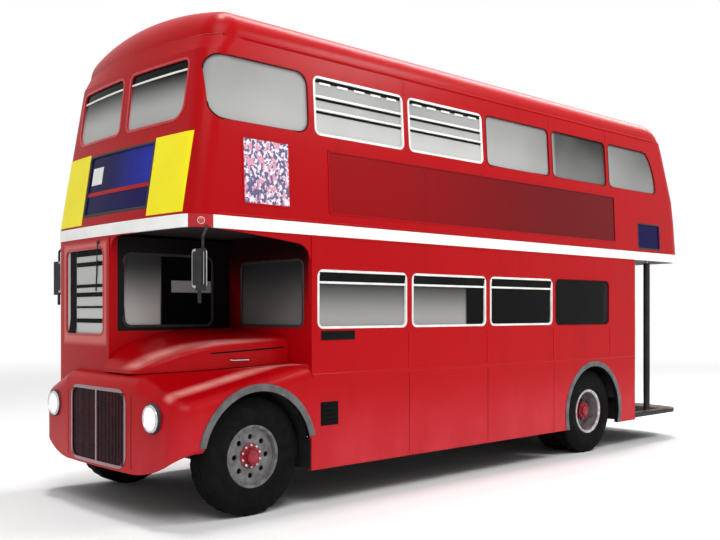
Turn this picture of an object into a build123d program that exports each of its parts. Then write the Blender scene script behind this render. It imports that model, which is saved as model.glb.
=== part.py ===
"""A half-cab double-decker bus with an open rear platform, in separate pieces, in millimetres.

The bus faces -Y and stands on z = 0. +X is its nearside, the kerb side with the bonnet and
the platform, and -X its offside, with the driver's cab and the stairs. The origin is on the
ground, under the middle of the bus. The upper body is a loft of plan outlines, each of lines
and arcs, whose rear end slopes in towards the roof. Each dome is the roof's own arch turned
about a level axis, and cut where the walls end.
"""

from build123d import *
import math
import os

# Overall size
LENGTH = 8382
WIDTH = 2438
HEIGHT = 4381
WHEELBASE = 5131
HALF_LENGTH = LENGTH / 2
HALF_WIDTH = WIDTH / 2
PROUD = 5

# Axles, wheels and steering
FRONT_AXLE_Y = -3321
REAR_AXLE_Y = FRONT_AXLE_Y + WHEELBASE
TYRE_RADIUS = 505
TYRE_WIDTH = 250
RIM_RADIUS = 262
HAND_HOLES, HAND_HOLE_PITCH, HAND_HOLE_RADIUS = 8, 165, 24
FRONT_WHEEL_X = 1010
KINGPIN_X = 915
REAR_WHEEL_X = (1022, 742)
ARCH_RADIUS = 560
ARCH_TRIM = 62

# Levels
SKIRT_Z = 330
FLOOR_Z = 680
FLOOR_THICK = 40
PLATFORM_Z = 400
BAND_Z = (2410, 2515)
UPPER_FLOOR_Z = (2440, 2510)
SPRING_Z = 4031
LOWER_GLASS_Z = (1580, 2110)
UPPER_GLASS_Z = (3310, 3850)
CAB_LOW_Z = 990
CAB_FLOOR_Z = 1165
WINDSCREEN_Z = (1510, 2325)

# Walls and glass
WALL = 45
GLASS_INSET = (16, 22)
FRAME_INSET = (-3, 32)
FRAME_WIDTH = 22
BLIND_INSET = (10, 34)
GLASS_CORNER = 65

# Stations along the bus
BULKHEAD_Y = -2750
PILLARS_Y = (-2720, -1495, -270, 955, 2180, 3405)
PILLAR_WIDTH = 70
PLATFORM_Y = 2780
UPPER_FRONT_SPLIT_Y = -3760
UPPER_REAR_SPLIT_Y = 3500
CAB_SIDE_X = -30
REAR_PANEL_X = 40

# Ends of the outlines: a straight run, then a corner arc, then a bow
STRAIGHT = 10
TOP_CORNER, TOP_BOW = 240, 100

# Upper body outlines: z, half width, then the y, corner radius and bow of the front and the rear
UPPER_LEVELS = (
    (2515, 1219, (-4050, 190, 40), (4186, 300, 100)),
    (2940, 1202, (-3985, 190, 40), (4152, 286, 100)),
    (3250, 1188, (-3938, 190, 42), (4105, 275, 100)),
    (3900, 1149, (-3868, 215, 62), (3884, 262, 100)),
    (4031, 1140, (-3850, 255, 100), (3830, 255, 100)),
)
LOWER_OUTLINE = UPPER_LEVELS[0][1:]

# Domes, as the turning radius of the crown at the front and the rear
FRONT_DOME_RADIUS = 376
REAR_DOME_RADIUS = 560

# Nose: the wings and the cowl in front of the cab and bonnet
NOSE_FRONT_Y = -HALF_LENGTH + PROUD
NOSE_CORNER, NOSE_BOW = 210, 50
NOSE_TOP_Z = (1195, 1262)
WING_DROP_Z = (950, 1250)
NOSE_SLOPE = (NOSE_TOP_Z[1] - NOSE_TOP_Z[0]) / (BULKHEAD_Y - NOSE_FRONT_Y)
NOSE_SKIN = 30
NOSE_ROUND = 145
VALANCE_Z = 385
COWL_HALF_WIDTH = 575
GRILLE_HALF_WIDTH = 500
GRILLE_Z = (405, 1080)
GRILLE_CORNER = 130
GRILLE_BORDER = 30
SLATS_A_SIDE, SLAT_PITCH = 18, 24
LAMP_X, LAMP_Z, LAMP_RADIUS = 880, 870, 112
LAMP_Y = (-4172, -3960)

# Bonnet sections: y, nearside x, z of the top at the shoulder and at the cab, shoulder radius
BONNET_SECTIONS = (
    (-2758, 890, 1500, 1580, 80),
    (-3060, 852, 1492, 1574, 80),
    (-3400, 786, 1468, 1556, 78),
    (-3740, 674, 1392, 1486, 66),
    (-3960, 566, 1296, 1388, 44),
    (-4100, 452, 1224, 1246, 12),
)
BONNET_X = -22
BONNET_SKIN = 14
PANEL_GAP = 7

# Chassis and axles
RAIL_X = 395
DRIVE_BOWL = 128

# Rows of double seats: number on the nearside and offside, first y, pitch, x, floor
SEAT_ROWS = (
    ((5, 5), -2420, 720, (300, 1160), FLOOR_Z),
    ((9, 8), -3450, 700, (290, 1110), UPPER_FLOOR_Z[1]),
)

FAR = 6000


def block(x, y, z):
    """A box from (low, high) pairs along each axis."""
    size = (x[1] - x[0], y[1] - y[0], z[1] - z[0])
    return Pos((x[0] + x[1]) / 2, (y[0] + y[1]) / 2, (z[0] + z[1]) / 2) * Box(*size)


def rod(start, end, radius):
    """A round bar between two points."""
    path = Vector(*end) - Vector(*start)
    plane = Plane(origin=Vector(*start), z_dir=path)
    return extrude(plane * Circle(radius), amount=path.length)


def rounded_x(y, z, radius, x):
    """A prism along X whose outline is a rounded rectangle in y and z."""
    outline = RectangleRounded(y[1] - y[0], z[1] - z[0], radius)
    place = Plane.YZ.offset(x[0]) * Pos((y[0] + y[1]) / 2, (z[0] + z[1]) / 2)
    return extrude(place * outline, amount=x[1] - x[0])


def rounded_y(x, z, radius, y):
    """A prism along Y whose outline is a rounded rectangle in x and z."""
    outline = RectangleRounded(x[1] - x[0], z[1] - z[0], radius)
    place = Plane.XZ.offset(-y[1]) * Pos((x[0] + x[1]) / 2, (z[0] + z[1]) / 2)
    return extrude(place * outline, amount=y[1] - y[0])


def rounded_z(x, y, radius, z):
    """A prism along Z whose outline is a rounded rectangle in x and y."""
    outline = RectangleRounded(x[1] - x[0], y[1] - y[0], radius)
    place = Plane.XY.offset(z[0]) * Pos((x[0] + x[1]) / 2, (y[0] + y[1]) / 2)
    return extrude(place * outline, amount=z[1] - z[0])


def arch_points(half_width, radius, bow, foot=STRAIGHT):
    """Half of an arch: side foot, start, middle and end of the corner arc, and crown."""
    across, up = half_width - radius, radius + bow
    crown_radius = (across**2 + up**2 - radius**2) / (2 * (up - radius))
    lean = math.asin(across / (crown_radius - radius))
    end = math.pi / 2 - lean
    on_arc = [
        (across + radius * math.cos(a), foot + radius * math.sin(a))
        for a in (0, end / 2, end)
    ]
    return [(half_width, 0)] + on_arc + [(0, foot + up)]


def mirrored(point):
    return (-point[0], point[1])


def arch_face(half_width, radius, bow, foot=STRAIGHT):
    """The area under an arch of three arcs on two short straight feet."""
    side, start, middle, end, crown = arch_points(half_width, radius, bow, foot)
    edges = [
        Line(side, start),
        ThreePointArc(start, middle, end),
        ThreePointArc(end, crown, mirrored(end)),
        ThreePointArc(mirrored(end), mirrored(middle), mirrored(start)),
        Line(mirrored(start), mirrored(side)),
        Line(mirrored(side), side),
    ]
    return Face(Wire(edges))


def end_arcs(z, half_width, end, way, inset):
    """Three arcs round one end of a body outline, from the nearside to the offside."""
    y, radius, bow = end
    points = arch_points(half_width - inset, radius - inset, bow)
    top = points[-1][1]
    start, middle, stop, crown = ((p[0], y - way * (inset + top - p[1]), z) for p in points[1:])
    far_stop, far_middle, far_start = ((-p[0], p[1], z) for p in (stop, middle, start))
    arcs = [
        ThreePointArc(start, middle, stop),
        ThreePointArc(stop, crown, far_stop),
        ThreePointArc(far_stop, far_middle, far_start),
    ]
    return start, arcs, far_start


def plan_face(z, half_width, front, rear, inset=0.0):
    """A body outline seen from above: two straight sides and two bowed ends."""
    front_start, front_arcs, front_stop = end_arcs(z, half_width, front, -1, inset)
    rear_start, rear_arcs, rear_stop = end_arcs(z, half_width, rear, 1, inset)
    sides = [Line(front_start, rear_start), Line(rear_stop, front_stop)]
    return Face(Wire(sides + rear_arcs + front_arcs))


def upper_solid(inset):
    """The upper body between the band and the roof, as far in as inset."""
    outlines = [plan_face(*level, inset) for level in UPPER_LEVELS]
    return loft(outlines, ruled=True)


def lower_solid(inset, z):
    """The lower body's upright outline between two heights, as far in as inset."""
    outline = plan_face(z[0], *LOWER_OUTLINE, inset)
    return extrude(outline, amount=z[1] - z[0], dir=(0, 0, 1))


def upper_layer(insets):
    return upper_solid(insets[0]) - upper_solid(insets[1])


def lower_layer(insets, z):
    return lower_solid(insets[0], z) - lower_solid(insets[1], z)


def bay(index):
    """The clear run between two pillars."""
    return (PILLARS_Y[index] + PILLAR_WIDTH / 2, PILLARS_Y[index + 1] - PILLAR_WIDTH / 2)


def shrink(pair, by):
    return (pair[0] + by, pair[1] - by)


# Window openings, as (along, z, corner radius) on a side or an end
LOWER_SIDE_WINDOWS = [(bay(i), LOWER_GLASS_Z, GLASS_CORNER) for i in range(4)]
UPPER_SIDE_WINDOWS = [((-3795, -2755), UPPER_GLASS_Z, 120)]
UPPER_SIDE_WINDOWS += [(bay(i), UPPER_GLASS_Z, GLASS_CORNER) for i in range(4)]
REAR_QUARTER_WINDOW = ((2215, 3370), UPPER_GLASS_Z, GLASS_CORNER)
UPPER_FRONT_WINDOWS = [(x, UPPER_GLASS_Z, 80) for x in ((-935, -45), (45, 935))]
FRONT_SCREEN_X, FRONT_SCREEN_CORNER = (-935, 935), 150
# Side windows that open, by their place from the front, with a metal frame in the opening
OPENING_UPPER = (1, 2)
OPENING_LOWER = (0, 1, 2)
BULKHEAD_WINDOWS = [((165, 1095), (1600, 2200), 60), ((-1060, -240), (1600, 2200), 60)]
CAB_WINDSCREEN = ((-950, -120), WINDSCREEN_Z, 80)
CAB_INNER_WINDOW = ((-3900, -2950), (1600, 2260), 70)
REAR_LOWER_WINDOW = ((-760, -120), (1500, 2110), 60)
DESTINATION_BOX = ((-560, 560), (2620, 3165), 20)
SIDE_BLIND_BOX = ((2880, 3430), (2570, 2880), 20)
EMERGENCY_WINDOW = ((-540, 540), (3280, 3840), 80)
CAB_DOOR = ((-3660, -2960), (1180, 2330), 70)


def tail_window(extra=0.0):
    """The last upper side window, whose rear top corner follows the tail's curve."""
    (y0, y1), (z0, z1), radius = REAR_QUARTER_WINDOW
    plain = rounded_x((y0 + extra, y1 - extra), (z0 + extra, z1 - extra), radius - extra, (-FAR, FAR))
    curve = Plane.YZ.offset(-FAR) * Pos(y0 + 520, z0 + 60) * Circle(635 - extra)
    keep = extrude(curve, amount=2 * FAR) + block((-FAR, FAR), (y0 - 50, y0 + 520), (z0 - 50, z1 + 50))
    return plain & keep


def side_prisms(windows, half, extra=0.0):
    """Window prisms through one side: half is 1 for the nearside and -1 for the offside."""
    x = (1000, 2000) if half > 0 else (-2000, -1000)
    return [
        rounded_x(shrink(y, extra), shrink(z, extra), radius - extra, x)
        for y, z, radius in windows
    ]


def end_prisms(windows, y, extra=0.0):
    return [
        rounded_y(shrink(x, extra), shrink(z, extra), radius - extra, y)
        for x, z, radius in windows
    ]


def cut(shape, tools):
    for tool in tools:
        shape = shape - tool
    return shape


def keep_inside(layer, tools):
    """The parts of a layer that lie inside each tool, as one compound."""
    return [layer & tool for tool in tools]


def frame_rings(layer, outer, inner):
    return [(layer & a) - b for a, b in zip(outer, inner)]


def wheel_cylinder(y, radius, x):
    return extrude(Plane.YZ.offset(x[0]) * Pos(y, TYRE_RADIUS) * Circle(radius), amount=x[1] - x[0])


nodes = {}


def add(name, *shapes):
    """Puts solids into a node. Its like pieces are separate solids that don't touch."""
    for shape in shapes:
        for item in shape if isinstance(shape, (list, tuple)) else [shape]:
            nodes.setdefault(name, []).extend(item.solids())


def export_nodes():
    os.makedirs("parts", exist_ok=True)
    for name, solids in nodes.items():
        shape = Compound(children=solids) if len(solids) > 1 else solids[0]
        export_step(shape, f"parts/{name}.step")
    print(len(nodes), "nodes")


def both(*shapes):
    """Each shape and its mirror image on the other side of the bus."""
    return [s for shape in shapes for s in (shape, mirror(shape, about=Plane.YZ))]


def front_windows(extra=0.0):
    """The two upper front windows. One wide outline rounds their outer corners at the sill."""
    across, sill = shrink(FRONT_SCREEN_X, extra), UPPER_GLASS_Z[0] + extra
    wide = rounded_y(across, (sill, SPRING_Z), FRONT_SCREEN_CORNER - extra, (-FAR, -3000))
    return [pane & wide for pane in end_prisms(UPPER_FRONT_WINDOWS, (-FAR, -3000), extra)]


def make_upper_body():
    walls = upper_layer((0, WALL))
    front = (-FAR, UPPER_FRONT_SPLIT_Y)
    middle = (UPPER_FRONT_SPLIT_Y, UPPER_REAR_SPLIT_Y)
    rear = (UPPER_REAR_SPLIT_Y, FAR)
    z = (2000, 5000)
    blind = rounded_x(*SIDE_BLIND_BOX, (500, 2000))
    box_hole = rounded_y(*DESTINATION_BOX, (-FAR, -3000))
    for name, half in (("upper_side_left", 1), ("upper_side_right", -1)):
        x = (0, FAR) if half > 0 else (-FAR, 0)
        side = walls & block(x, middle, z)
        side = cut(side, side_prisms(UPPER_SIDE_WINDOWS, half) + [tail_window()])
        add(name, side - blind if half > 0 else side)
    front_wall = walls & block((-FAR, FAR), front, z)
    corner_windows = side_prisms(UPPER_SIDE_WINDOWS[:1], 1) + side_prisms(UPPER_SIDE_WINDOWS[:1], -1)
    add("upper_front_panel", cut(front_wall, front_windows() + corner_windows + [box_hole]))
    hatch = rounded_y(*EMERGENCY_WINDOW, (3000, FAR))
    add("upper_rear_panel", (walls & block((-FAR, FAR), rear, z)) - hatch)

    framed = [UPPER_SIDE_WINDOWS[i] for i in OPENING_UPPER]
    plain = [window for window in UPPER_SIDE_WINDOWS if window not in framed]
    outer, inner, bare = front_windows(), front_windows(FRAME_WIDTH), []
    for half in (1, -1):
        outer += side_prisms(framed, half)
        inner += side_prisms(framed, half, FRAME_WIDTH)
        x = (0, FAR) if half > 0 else (-FAR, 0)
        bare += side_prisms(plain, half) + [tail_window() & block(x, (-FAR, FAR), z)]
    glass = upper_layer(GLASS_INSET)
    add("window_frames", frame_rings(upper_layer(FRAME_INSET), outer, inner))
    add("glazing", keep_inside(glass, inner + bare))

    (x0, x1), (z0, z1), radius = EMERGENCY_WINDOW
    clear, rim_width = PANEL_GAP, 60
    hatch_outer = rounded_y((x0 + clear, x1 - clear), (z0 + clear, z1 - clear), radius - clear, (3000, FAR))
    hatch_x, hatch_z = shrink((x0, x1), rim_width), shrink((z0, z1), rim_width)
    hatch_inner = rounded_y(hatch_x, hatch_z, radius - rim_width / 2, (3000, FAR))
    add("emergency_window_frame", (upper_layer((0, 36)) & hatch_outer) - hatch_inner)
    add("emergency_window_glass", glass & hatch_inner)

    blind_layer = upper_layer(BLIND_INSET)
    add("destination_blinds", blind_layer & box_hole, blind_layer & blind)


def make_dome(edge_y, radius, way):
    """One end of the roof: the arch turned a quarter about a level axis below the walls' top.

    way is -1 at the front and 1 at the rear. The wall meets it at the same lean. Returns the
    place along the bus where the plain roof starts.
    """
    half_width = UPPER_LEVELS[-1][1]
    axis_z = HEIGHT - radius
    y = edge_y - way * math.sqrt(radius**2 - (SPRING_Z - axis_z) ** 2)
    axis = Axis((0, y, axis_z), (1, 0, 0))
    place = Plane.XZ.offset(-y) * Pos(0, axis_z)
    foot = radius - TOP_CORNER - TOP_BOW
    points = arch_points(half_width - WALL, TOP_CORNER - WALL, TOP_BOW, foot)
    points.pop(2)
    lining = Polygon(*points, *[mirrored(p) for p in reversed(points[:-1])], align=None)
    outline = arch_face(half_width, TOP_CORNER, TOP_BOW, foot)
    solid, hollow = (
        revolve(place * face, axis=axis, revolution_arc=-90 * way) for face in (outline, lining)
    )
    add("roof_domes", (solid - hollow) & block((-FAR, FAR), (-FAR, FAR), (SPRING_Z, FAR)))
    return y


def make_roof():
    _, half_width, front, rear = UPPER_LEVELS[-1]
    front_y = make_dome(front[0], FRONT_DOME_RADIUS, -1)
    rear_y = make_dome(rear[0], REAR_DOME_RADIUS, 1)
    outline = arch_face(half_width, TOP_CORNER, TOP_BOW)
    lining = arch_face(half_width - WALL, TOP_CORNER - WALL, TOP_BOW)
    place = Plane.XZ.offset(-rear_y) * Pos(0, SPRING_Z)
    add("roof_centre", extrude(place * (outline - lining), amount=rear_y - front_y, dir=(0, -1, 0)))


def make_band_and_upper_floor():
    add("waistband", lower_layer((-PROUD, 30), BAND_Z))
    slab = lower_solid(30, UPPER_FLOOR_Z)
    add("floors", slab - rounded_z((-1150, -560), (2800, 3900), 40, (2000, 3000)))


def make_lower_body():
    z = (SKIRT_Z, BAND_Z[0])
    walls = lower_layer((0, WALL), z)
    arch = wheel_cylinder(REAR_AXLE_Y, ARCH_RADIUS, (-FAR, FAR))
    left = walls & block((0, FAR), (BULKHEAD_Y, PLATFORM_Y), z)
    add("lower_side_left", cut(left - arch, side_prisms(LOWER_SIDE_WINDOWS, 1)))
    right = walls & block((-FAR, 0), (BULKHEAD_Y, 3700), z)
    add("lower_side_right", cut(right - arch, side_prisms(LOWER_SIDE_WINDOWS, -1)))
    rear = walls & block((-FAR, REAR_PANEL_X), (3700, FAR), z)
    add("lower_rear_panel", cut(rear, end_prisms([REAR_LOWER_WINDOW], (3000, FAR))))

    framed = [LOWER_SIDE_WINDOWS[i] for i in OPENING_LOWER]
    plain = [window for window in LOWER_SIDE_WINDOWS if window not in framed]
    outer, inner, bare = [], [], end_prisms([REAR_LOWER_WINDOW], (3000, FAR))
    for half in (1, -1):
        outer += side_prisms(framed, half)
        inner += side_prisms(framed, half, FRAME_WIDTH)
        bare += side_prisms(plain, half)
    add("window_frames", frame_rings(lower_layer(FRAME_INSET, z), outer, inner))
    bulkhead_panes = keep_inside(
        block((-1174, 1174), (BULKHEAD_Y + 20, BULKHEAD_Y + 26), (1000, 2400)),
        end_prisms(BULKHEAD_WINDOWS, (-FAR, FAR)),
    )
    add("glazing", keep_inside(lower_layer(GLASS_INSET, z), inner + bare), bulkhead_panes)

    inside = HALF_WIDTH - WALL
    front = block((-inside, inside), (BULKHEAD_Y, BULKHEAD_Y + WALL), (FLOOR_Z, UPPER_FLOOR_Z[0]))
    add("bulkheads", cut(front, end_prisms(BULKHEAD_WINDOWS, (-FAR, FAR))))
    rear_wall = block((-inside, inside), (PLATFORM_Y - 40, PLATFORM_Y), (FLOOR_Z, UPPER_FLOOR_Z[0]))
    doorway = rounded_y((-260, 460), (FLOOR_Z - 200, 2330), 80, (PLATFORM_Y - 300, PLATFORM_Y + 300))
    partition_window = rounded_y((560, 1080), (1500, 2110), 60, (PLATFORM_Y - 300, PLATFORM_Y + 300))
    add("bulkheads", rear_wall - doorway - partition_window)

    floor = block((-inside, inside), (BULKHEAD_Y, PLATFORM_Y), (FLOOR_Z - FLOOR_THICK, FLOOR_Z))
    box_y = (REAR_AXLE_Y - 565, REAR_AXLE_Y + 565)
    for x in ((584, inside), (-inside, -584)):
        floor = floor + block(x, box_y, (FLOOR_Z - FLOOR_THICK, 1072))
        inner_x = (606, FAR) if x[0] > 0 else (-FAR, -606)
        floor = floor - block(inner_x, shrink(box_y, 20), (0, 1052))
    add("floors", floor)

    z = (0, 1000)
    deck = lower_solid(20, (PLATFORM_Z - 50, PLATFORM_Z))
    deck = deck & block((-FAR, FAR), (PLATFORM_Y + 20, FAR), z)
    deck = deck - (lower_layer((0, WALL), z) & block((-FAR, REAR_PANEL_X), (0, FAR), z))
    riser = block((-inside, inside), (PLATFORM_Y, PLATFORM_Y + 20), (PLATFORM_Z - 50, FLOOR_Z))
    add("rear_platform", deck + riser)


def make_cab():
    z = (CAB_LOW_Z, BAND_Z[0])
    region = block((-FAR, CAB_SIDE_X), (-FAR, BULKHEAD_Y), z)
    arch = wheel_cylinder(FRONT_AXLE_Y, ARCH_RADIUS, (-FAR, FAR))
    shell = (lower_layer((0, WALL), z) & region) - arch
    inner = block((CAB_SIDE_X - WALL, CAB_SIDE_X), (-FAR, BULKHEAD_Y), z)
    inner_wall = lower_solid(WALL, z) & inner
    inner_wall = inner_wall - rounded_x(*CAB_INNER_WINDOW, (-500, 500))
    shell = shell + inner_wall
    shell = cut(shell, end_prisms([CAB_WINDSCREEN], (-FAR, -3500)))
    door_prism = rounded_x(*CAB_DOOR, (-2000, -500))
    add("cab_shell", shell - door_prism)

    (y0, y1), (z0, z1), radius = CAB_DOOR
    gap = PANEL_GAP
    door_fit = rounded_x((y0 + gap, y1 - gap), (z0 + gap, z1 - gap), radius - gap, (-2000, -500))
    door_window = rounded_x((y0 + 90, y1 - 90), (1500, z1 - 80), 60, (-2000, -500))
    add("cab_door", (lower_layer((0, 38), (0, 3000)) & door_fit) - door_window)
    add("cab_door_glass", lower_layer(GLASS_INSET, (0, 3000)) & door_window)

    screen_outer = end_prisms([CAB_WINDSCREEN], (-FAR, -3500))
    screen_inner = end_prisms([CAB_WINDSCREEN], (-FAR, -3500), FRAME_WIDTH)
    add("window_frames", frame_rings(lower_layer(FRAME_INSET, z), screen_outer, screen_inner))
    side_pane = rounded_x(*CAB_INNER_WINDOW, (CAB_SIDE_X - 28, CAB_SIDE_X - 22))
    add("glazing", keep_inside(lower_layer(GLASS_INSET, z), screen_inner), side_pane)

    floor = lower_solid(WALL, (CAB_FLOOR_Z - 25, CAB_FLOOR_Z))
    add("floors", floor & block((-FAR, CAB_SIDE_X - WALL), (-FAR, BULKHEAD_Y), (0, 3000)))


def wing_top(y, x, drop):
    """Height of a wing's top, which falls away towards the front outer corner."""
    rise = (WING_DROP_Z[1] - WING_DROP_Z[0]) / (BULKHEAD_Y - NOSE_FRONT_Y)
    fall = (NOSE_TOP_Z[0] - WING_DROP_Z[0]) / (HALF_WIDTH - COWL_HALF_WIDTH)
    return NOSE_TOP_Z[0] + rise * (y - NOSE_FRONT_Y) - fall * (x - COWL_HALF_WIDTH) - drop


def above_wing(drop):
    """What is cut away over the nearside wing's sloping top."""
    sections = []
    for y in (NOSE_FRONT_Y - 200, BULKHEAD_Y + 100):
        low = [(x, y, wing_top(y, x, drop)) for x in (0, LENGTH)]
        high = [(x, y, HEIGHT) for x in (LENGTH, 0)]
        sections.append(Face(Wire(Polyline(*low, *high, close=True))))
    return loft(sections, ruled=True)


def nose_prism(inset, drop):
    """The nose's upright outline, set in, under its sloping tops lowered by drop."""
    front = (NOSE_FRONT_Y, NOSE_CORNER, NOSE_BOW)
    outline = plan_face(200, HALF_WIDTH, front, (0, 300, 100), inset)
    low, high = (z - drop for z in NOSE_TOP_Z)
    ahead = NOSE_FRONT_Y - 200
    points = [(ahead, 100), (ahead, low - 200 * NOSE_SLOPE), (BULKHEAD_Y, high), (BULKHEAD_Y, 100)]
    profile = Plane.YZ.offset(-FAR) * Polygon(*points, align=None)
    side_view = extrude(profile, amount=2 * FAR, dir=(1, 0, 0))
    solid = extrude(outline, amount=1400, dir=(0, 0, 1)) & side_view
    return cut(solid, both(above_wing(drop)))


def rounded_nose():
    """The nose with its top edge rounded all the way round, from wing to wing."""
    solid = nose_prism(0, 0)
    tops = solid.faces().filter_by(lambda f: f.normal_at().Z > 0.7)
    inner = [e for e in tops.edges() if sum(1 for f in tops if e in f.edges()) > 1]
    rim = [e for e in tops.edges() if e not in inner and e.center().Y < BULKHEAD_Y - 1]
    return fillet(rim, radius=NOSE_ROUND)


def nose_underside():
    """What is cut away below the wings, which sweep up from the valance to the arches."""
    side = [(COWL_HALF_WIDTH, VALANCE_Z), (920, VALANCE_Z + 65), (1240, 640), (1500, 700)]
    start, middle, end, tip = side
    edges = [
        Line(mirrored(start), start),
        ThreePointArc(start, middle, end),
        Line(end, tip),
        Line(tip, (tip[0], 0)),
        Line((tip[0], 0), (-tip[0], 0)),
        Line((-tip[0], 0), mirrored(tip)),
        Line(mirrored(tip), mirrored(end)),
        ThreePointArc(mirrored(end), mirrored(middle), mirrored(start)),
    ]
    return extrude(Plane.XZ.offset(5000) * Face(Wire(edges)), amount=4000, dir=(0, 1, 0))


def make_nose():
    cavity = nose_prism(NOSE_SKIN, NOSE_ROUND + NOSE_SKIN) + nose_prism(NOSE_ROUND, NOSE_SKIN)
    cab = lower_solid(0, (CAB_LOW_Z, 3000)) & block((-FAR, CAB_SIDE_X), (-FAR, FAR), (0, 4000))
    engine_bay = block((0, 600), (-3870, BULKHEAD_Y + 50), (900, 1400))
    opening = rounded_y((-GRILLE_HALF_WIDTH, GRILLE_HALF_WIDTH), GRILLE_Z, GRILLE_CORNER, (-FAR, -3900))
    lamps = [
        extrude(Plane.XZ.offset(3900) * Pos(x, LAMP_Z) * Circle(LAMP_RADIUS), amount=500)
        for x in (-LAMP_X, LAMP_X)
    ]
    arch = wheel_cylinder(FRONT_AXLE_Y, ARCH_RADIUS, (-FAR, FAR))
    shell = cut(rounded_nose(), [cavity, cab, arch, nose_underside(), engine_bay, opening] + lamps)
    z = (0, 3000)
    add("radiator_cowl", shell & block((-COWL_HALF_WIDTH, COWL_HALF_WIDTH), (-FAR, FAR), z))
    add("front_wings", shell & block((COWL_HALF_WIDTH, FAR), (-FAR, FAR), z))
    add("front_wings", shell & block((-FAR, -COWL_HALF_WIDTH), (-FAR, FRONT_AXLE_Y), z))

    front = (-FAR, -3900)
    skin = (nose_prism(-PROUD, 0) - nose_prism(20, 0)) & opening
    hole_x = shrink((-GRILLE_HALF_WIDTH, GRILLE_HALF_WIDTH), GRILLE_BORDER)
    hole = rounded_y(hole_x, shrink(GRILLE_Z, GRILLE_BORDER), GRILLE_CORNER - GRILLE_BORDER, front)
    centre_bar = block((-13, 13), front, GRILLE_Z)
    slats = (nose_prism(4, 0) - nose_prism(18, 0)) & opening
    bars = []
    for i in range(SLATS_A_SIDE):
        for side in (-1, 1):
            x = side * (26 + i * SLAT_PITCH)
            bars.append(block((x - 4, x + 4), front, shrink(GRILLE_Z, 10)))
    grille = (skin - hole) + (skin & centre_bar)
    for bar in bars:
        grille = grille + (slats & bar)
    add("grille", grille)

    pods = []
    for x in (-LAMP_X, LAMP_X):
        place = Plane.XZ.offset(-LAMP_Y[1]) * Pos(x, LAMP_Z)
        lamp = extrude(place * Circle(LAMP_RADIUS), amount=LAMP_Y[1] - LAMP_Y[0])
        pods.append(chamfer(lamp.faces().sort_by(Axis.Y)[0].edges(), length=22))
    add("headlamps", pods)


def bonnet_bottom(y):
    return NOSE_TOP_Z[0] + NOSE_SLOPE * (y - NOSE_FRONT_Y) + PANEL_GAP


def bonnet_outside():
    """Cross sections with a round shoulder on the nearside, under one smooth skin."""
    sections = []
    for y, right, top, crown, r in BONNET_SECTIONS:
        bottom = bonnet_bottom(y)
        bend = (right - r + r * math.cos(math.pi / 4), y, top - r + r * math.sin(math.pi / 4))
        edges = [
            Line((BONNET_X, y, bottom), (right, y, bottom)),
            Line((right, y, bottom), (right, y, top - r)),
            ThreePointArc((right, y, top - r), bend, (right - r, y, top)),
            Line((right - r, y, top), (BONNET_X, y, crown)),
            Line((BONNET_X, y, crown), (BONNET_X, y, bottom)),
        ]
        sections.append(Face(Wire(edges)))
    return loft(sections)


def bonnet_inside():
    """The space under the bonnet, open below, behind and on the hinged side."""
    sections = []
    for index, (y, right, top, crown, r) in enumerate(BONNET_SECTIONS):
        x0, x1, z1, z0 = BONNET_X - 50, right - BONNET_SKIN, top - BONNET_SKIN, crown - BONNET_SKIN
        bottom, bevel = bonnet_bottom(y) - 50, 0.55 * r
        if index == 0:
            y = y + 50
        if index == len(BONNET_SECTIONS) - 1:
            y = y + BONNET_SKIN
        points = [(x0, bottom), (x1, bottom), (x1, z1 - bevel), (x1 - bevel, z1), (x0, z0)]
        sections.append(Face(Wire(Polyline(*[(x, y, z) for x, z in points], close=True))))
    return loft(sections, ruled=True)


def make_bonnet():
    add("bonnet", bonnet_outside() - bonnet_inside())


def make_arch_trims():
    for y, foot_z in ((FRONT_AXLE_Y, 640), (REAR_AXLE_Y, SKIRT_Z)):
        x = (HALF_WIDTH, HALF_WIDTH + 7)
        ring = wheel_cylinder(y, ARCH_RADIUS + ARCH_TRIM, x) - wheel_cylinder(y, ARCH_RADIUS, x)
        below = block((0, FAR), (-FAR, FAR), (-FAR, foot_z))
        add("wheel_arch_trims", both(ring - below))


def turned(points, x, y):
    """A solid turned about the axle line at y from (x, radius) points, placed at x."""
    return Pos(x, y, TYRE_RADIUS) * revolve(Polygon(*points, align=None), axis=Axis.X)


def tyre(x, y):
    """A tyre: flat sidewalls, bevelled shoulders and tread."""
    half = TYRE_WIDTH / 2
    outer = [(half, RIM_RADIUS), (half, TYRE_RADIUS - 45), (half - 32, TYRE_RADIUS)]
    return turned(outer + [mirrored(p) for p in reversed(outer)], x, y)


def hand_holes(x, y, side, disc_x):
    """Round holes through a wheel disc, to be cut."""
    hole = Pos(side * disc_x, 0, HAND_HOLE_PITCH) * Rot(0, 90, 0) * Cylinder(HAND_HOLE_RADIUS, 60)
    step = 360 / HAND_HOLES
    return [Pos(x, y, TYRE_RADIUS) * Rot(i * step, 0, 0) * hole for i in range(HAND_HOLES)]


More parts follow.
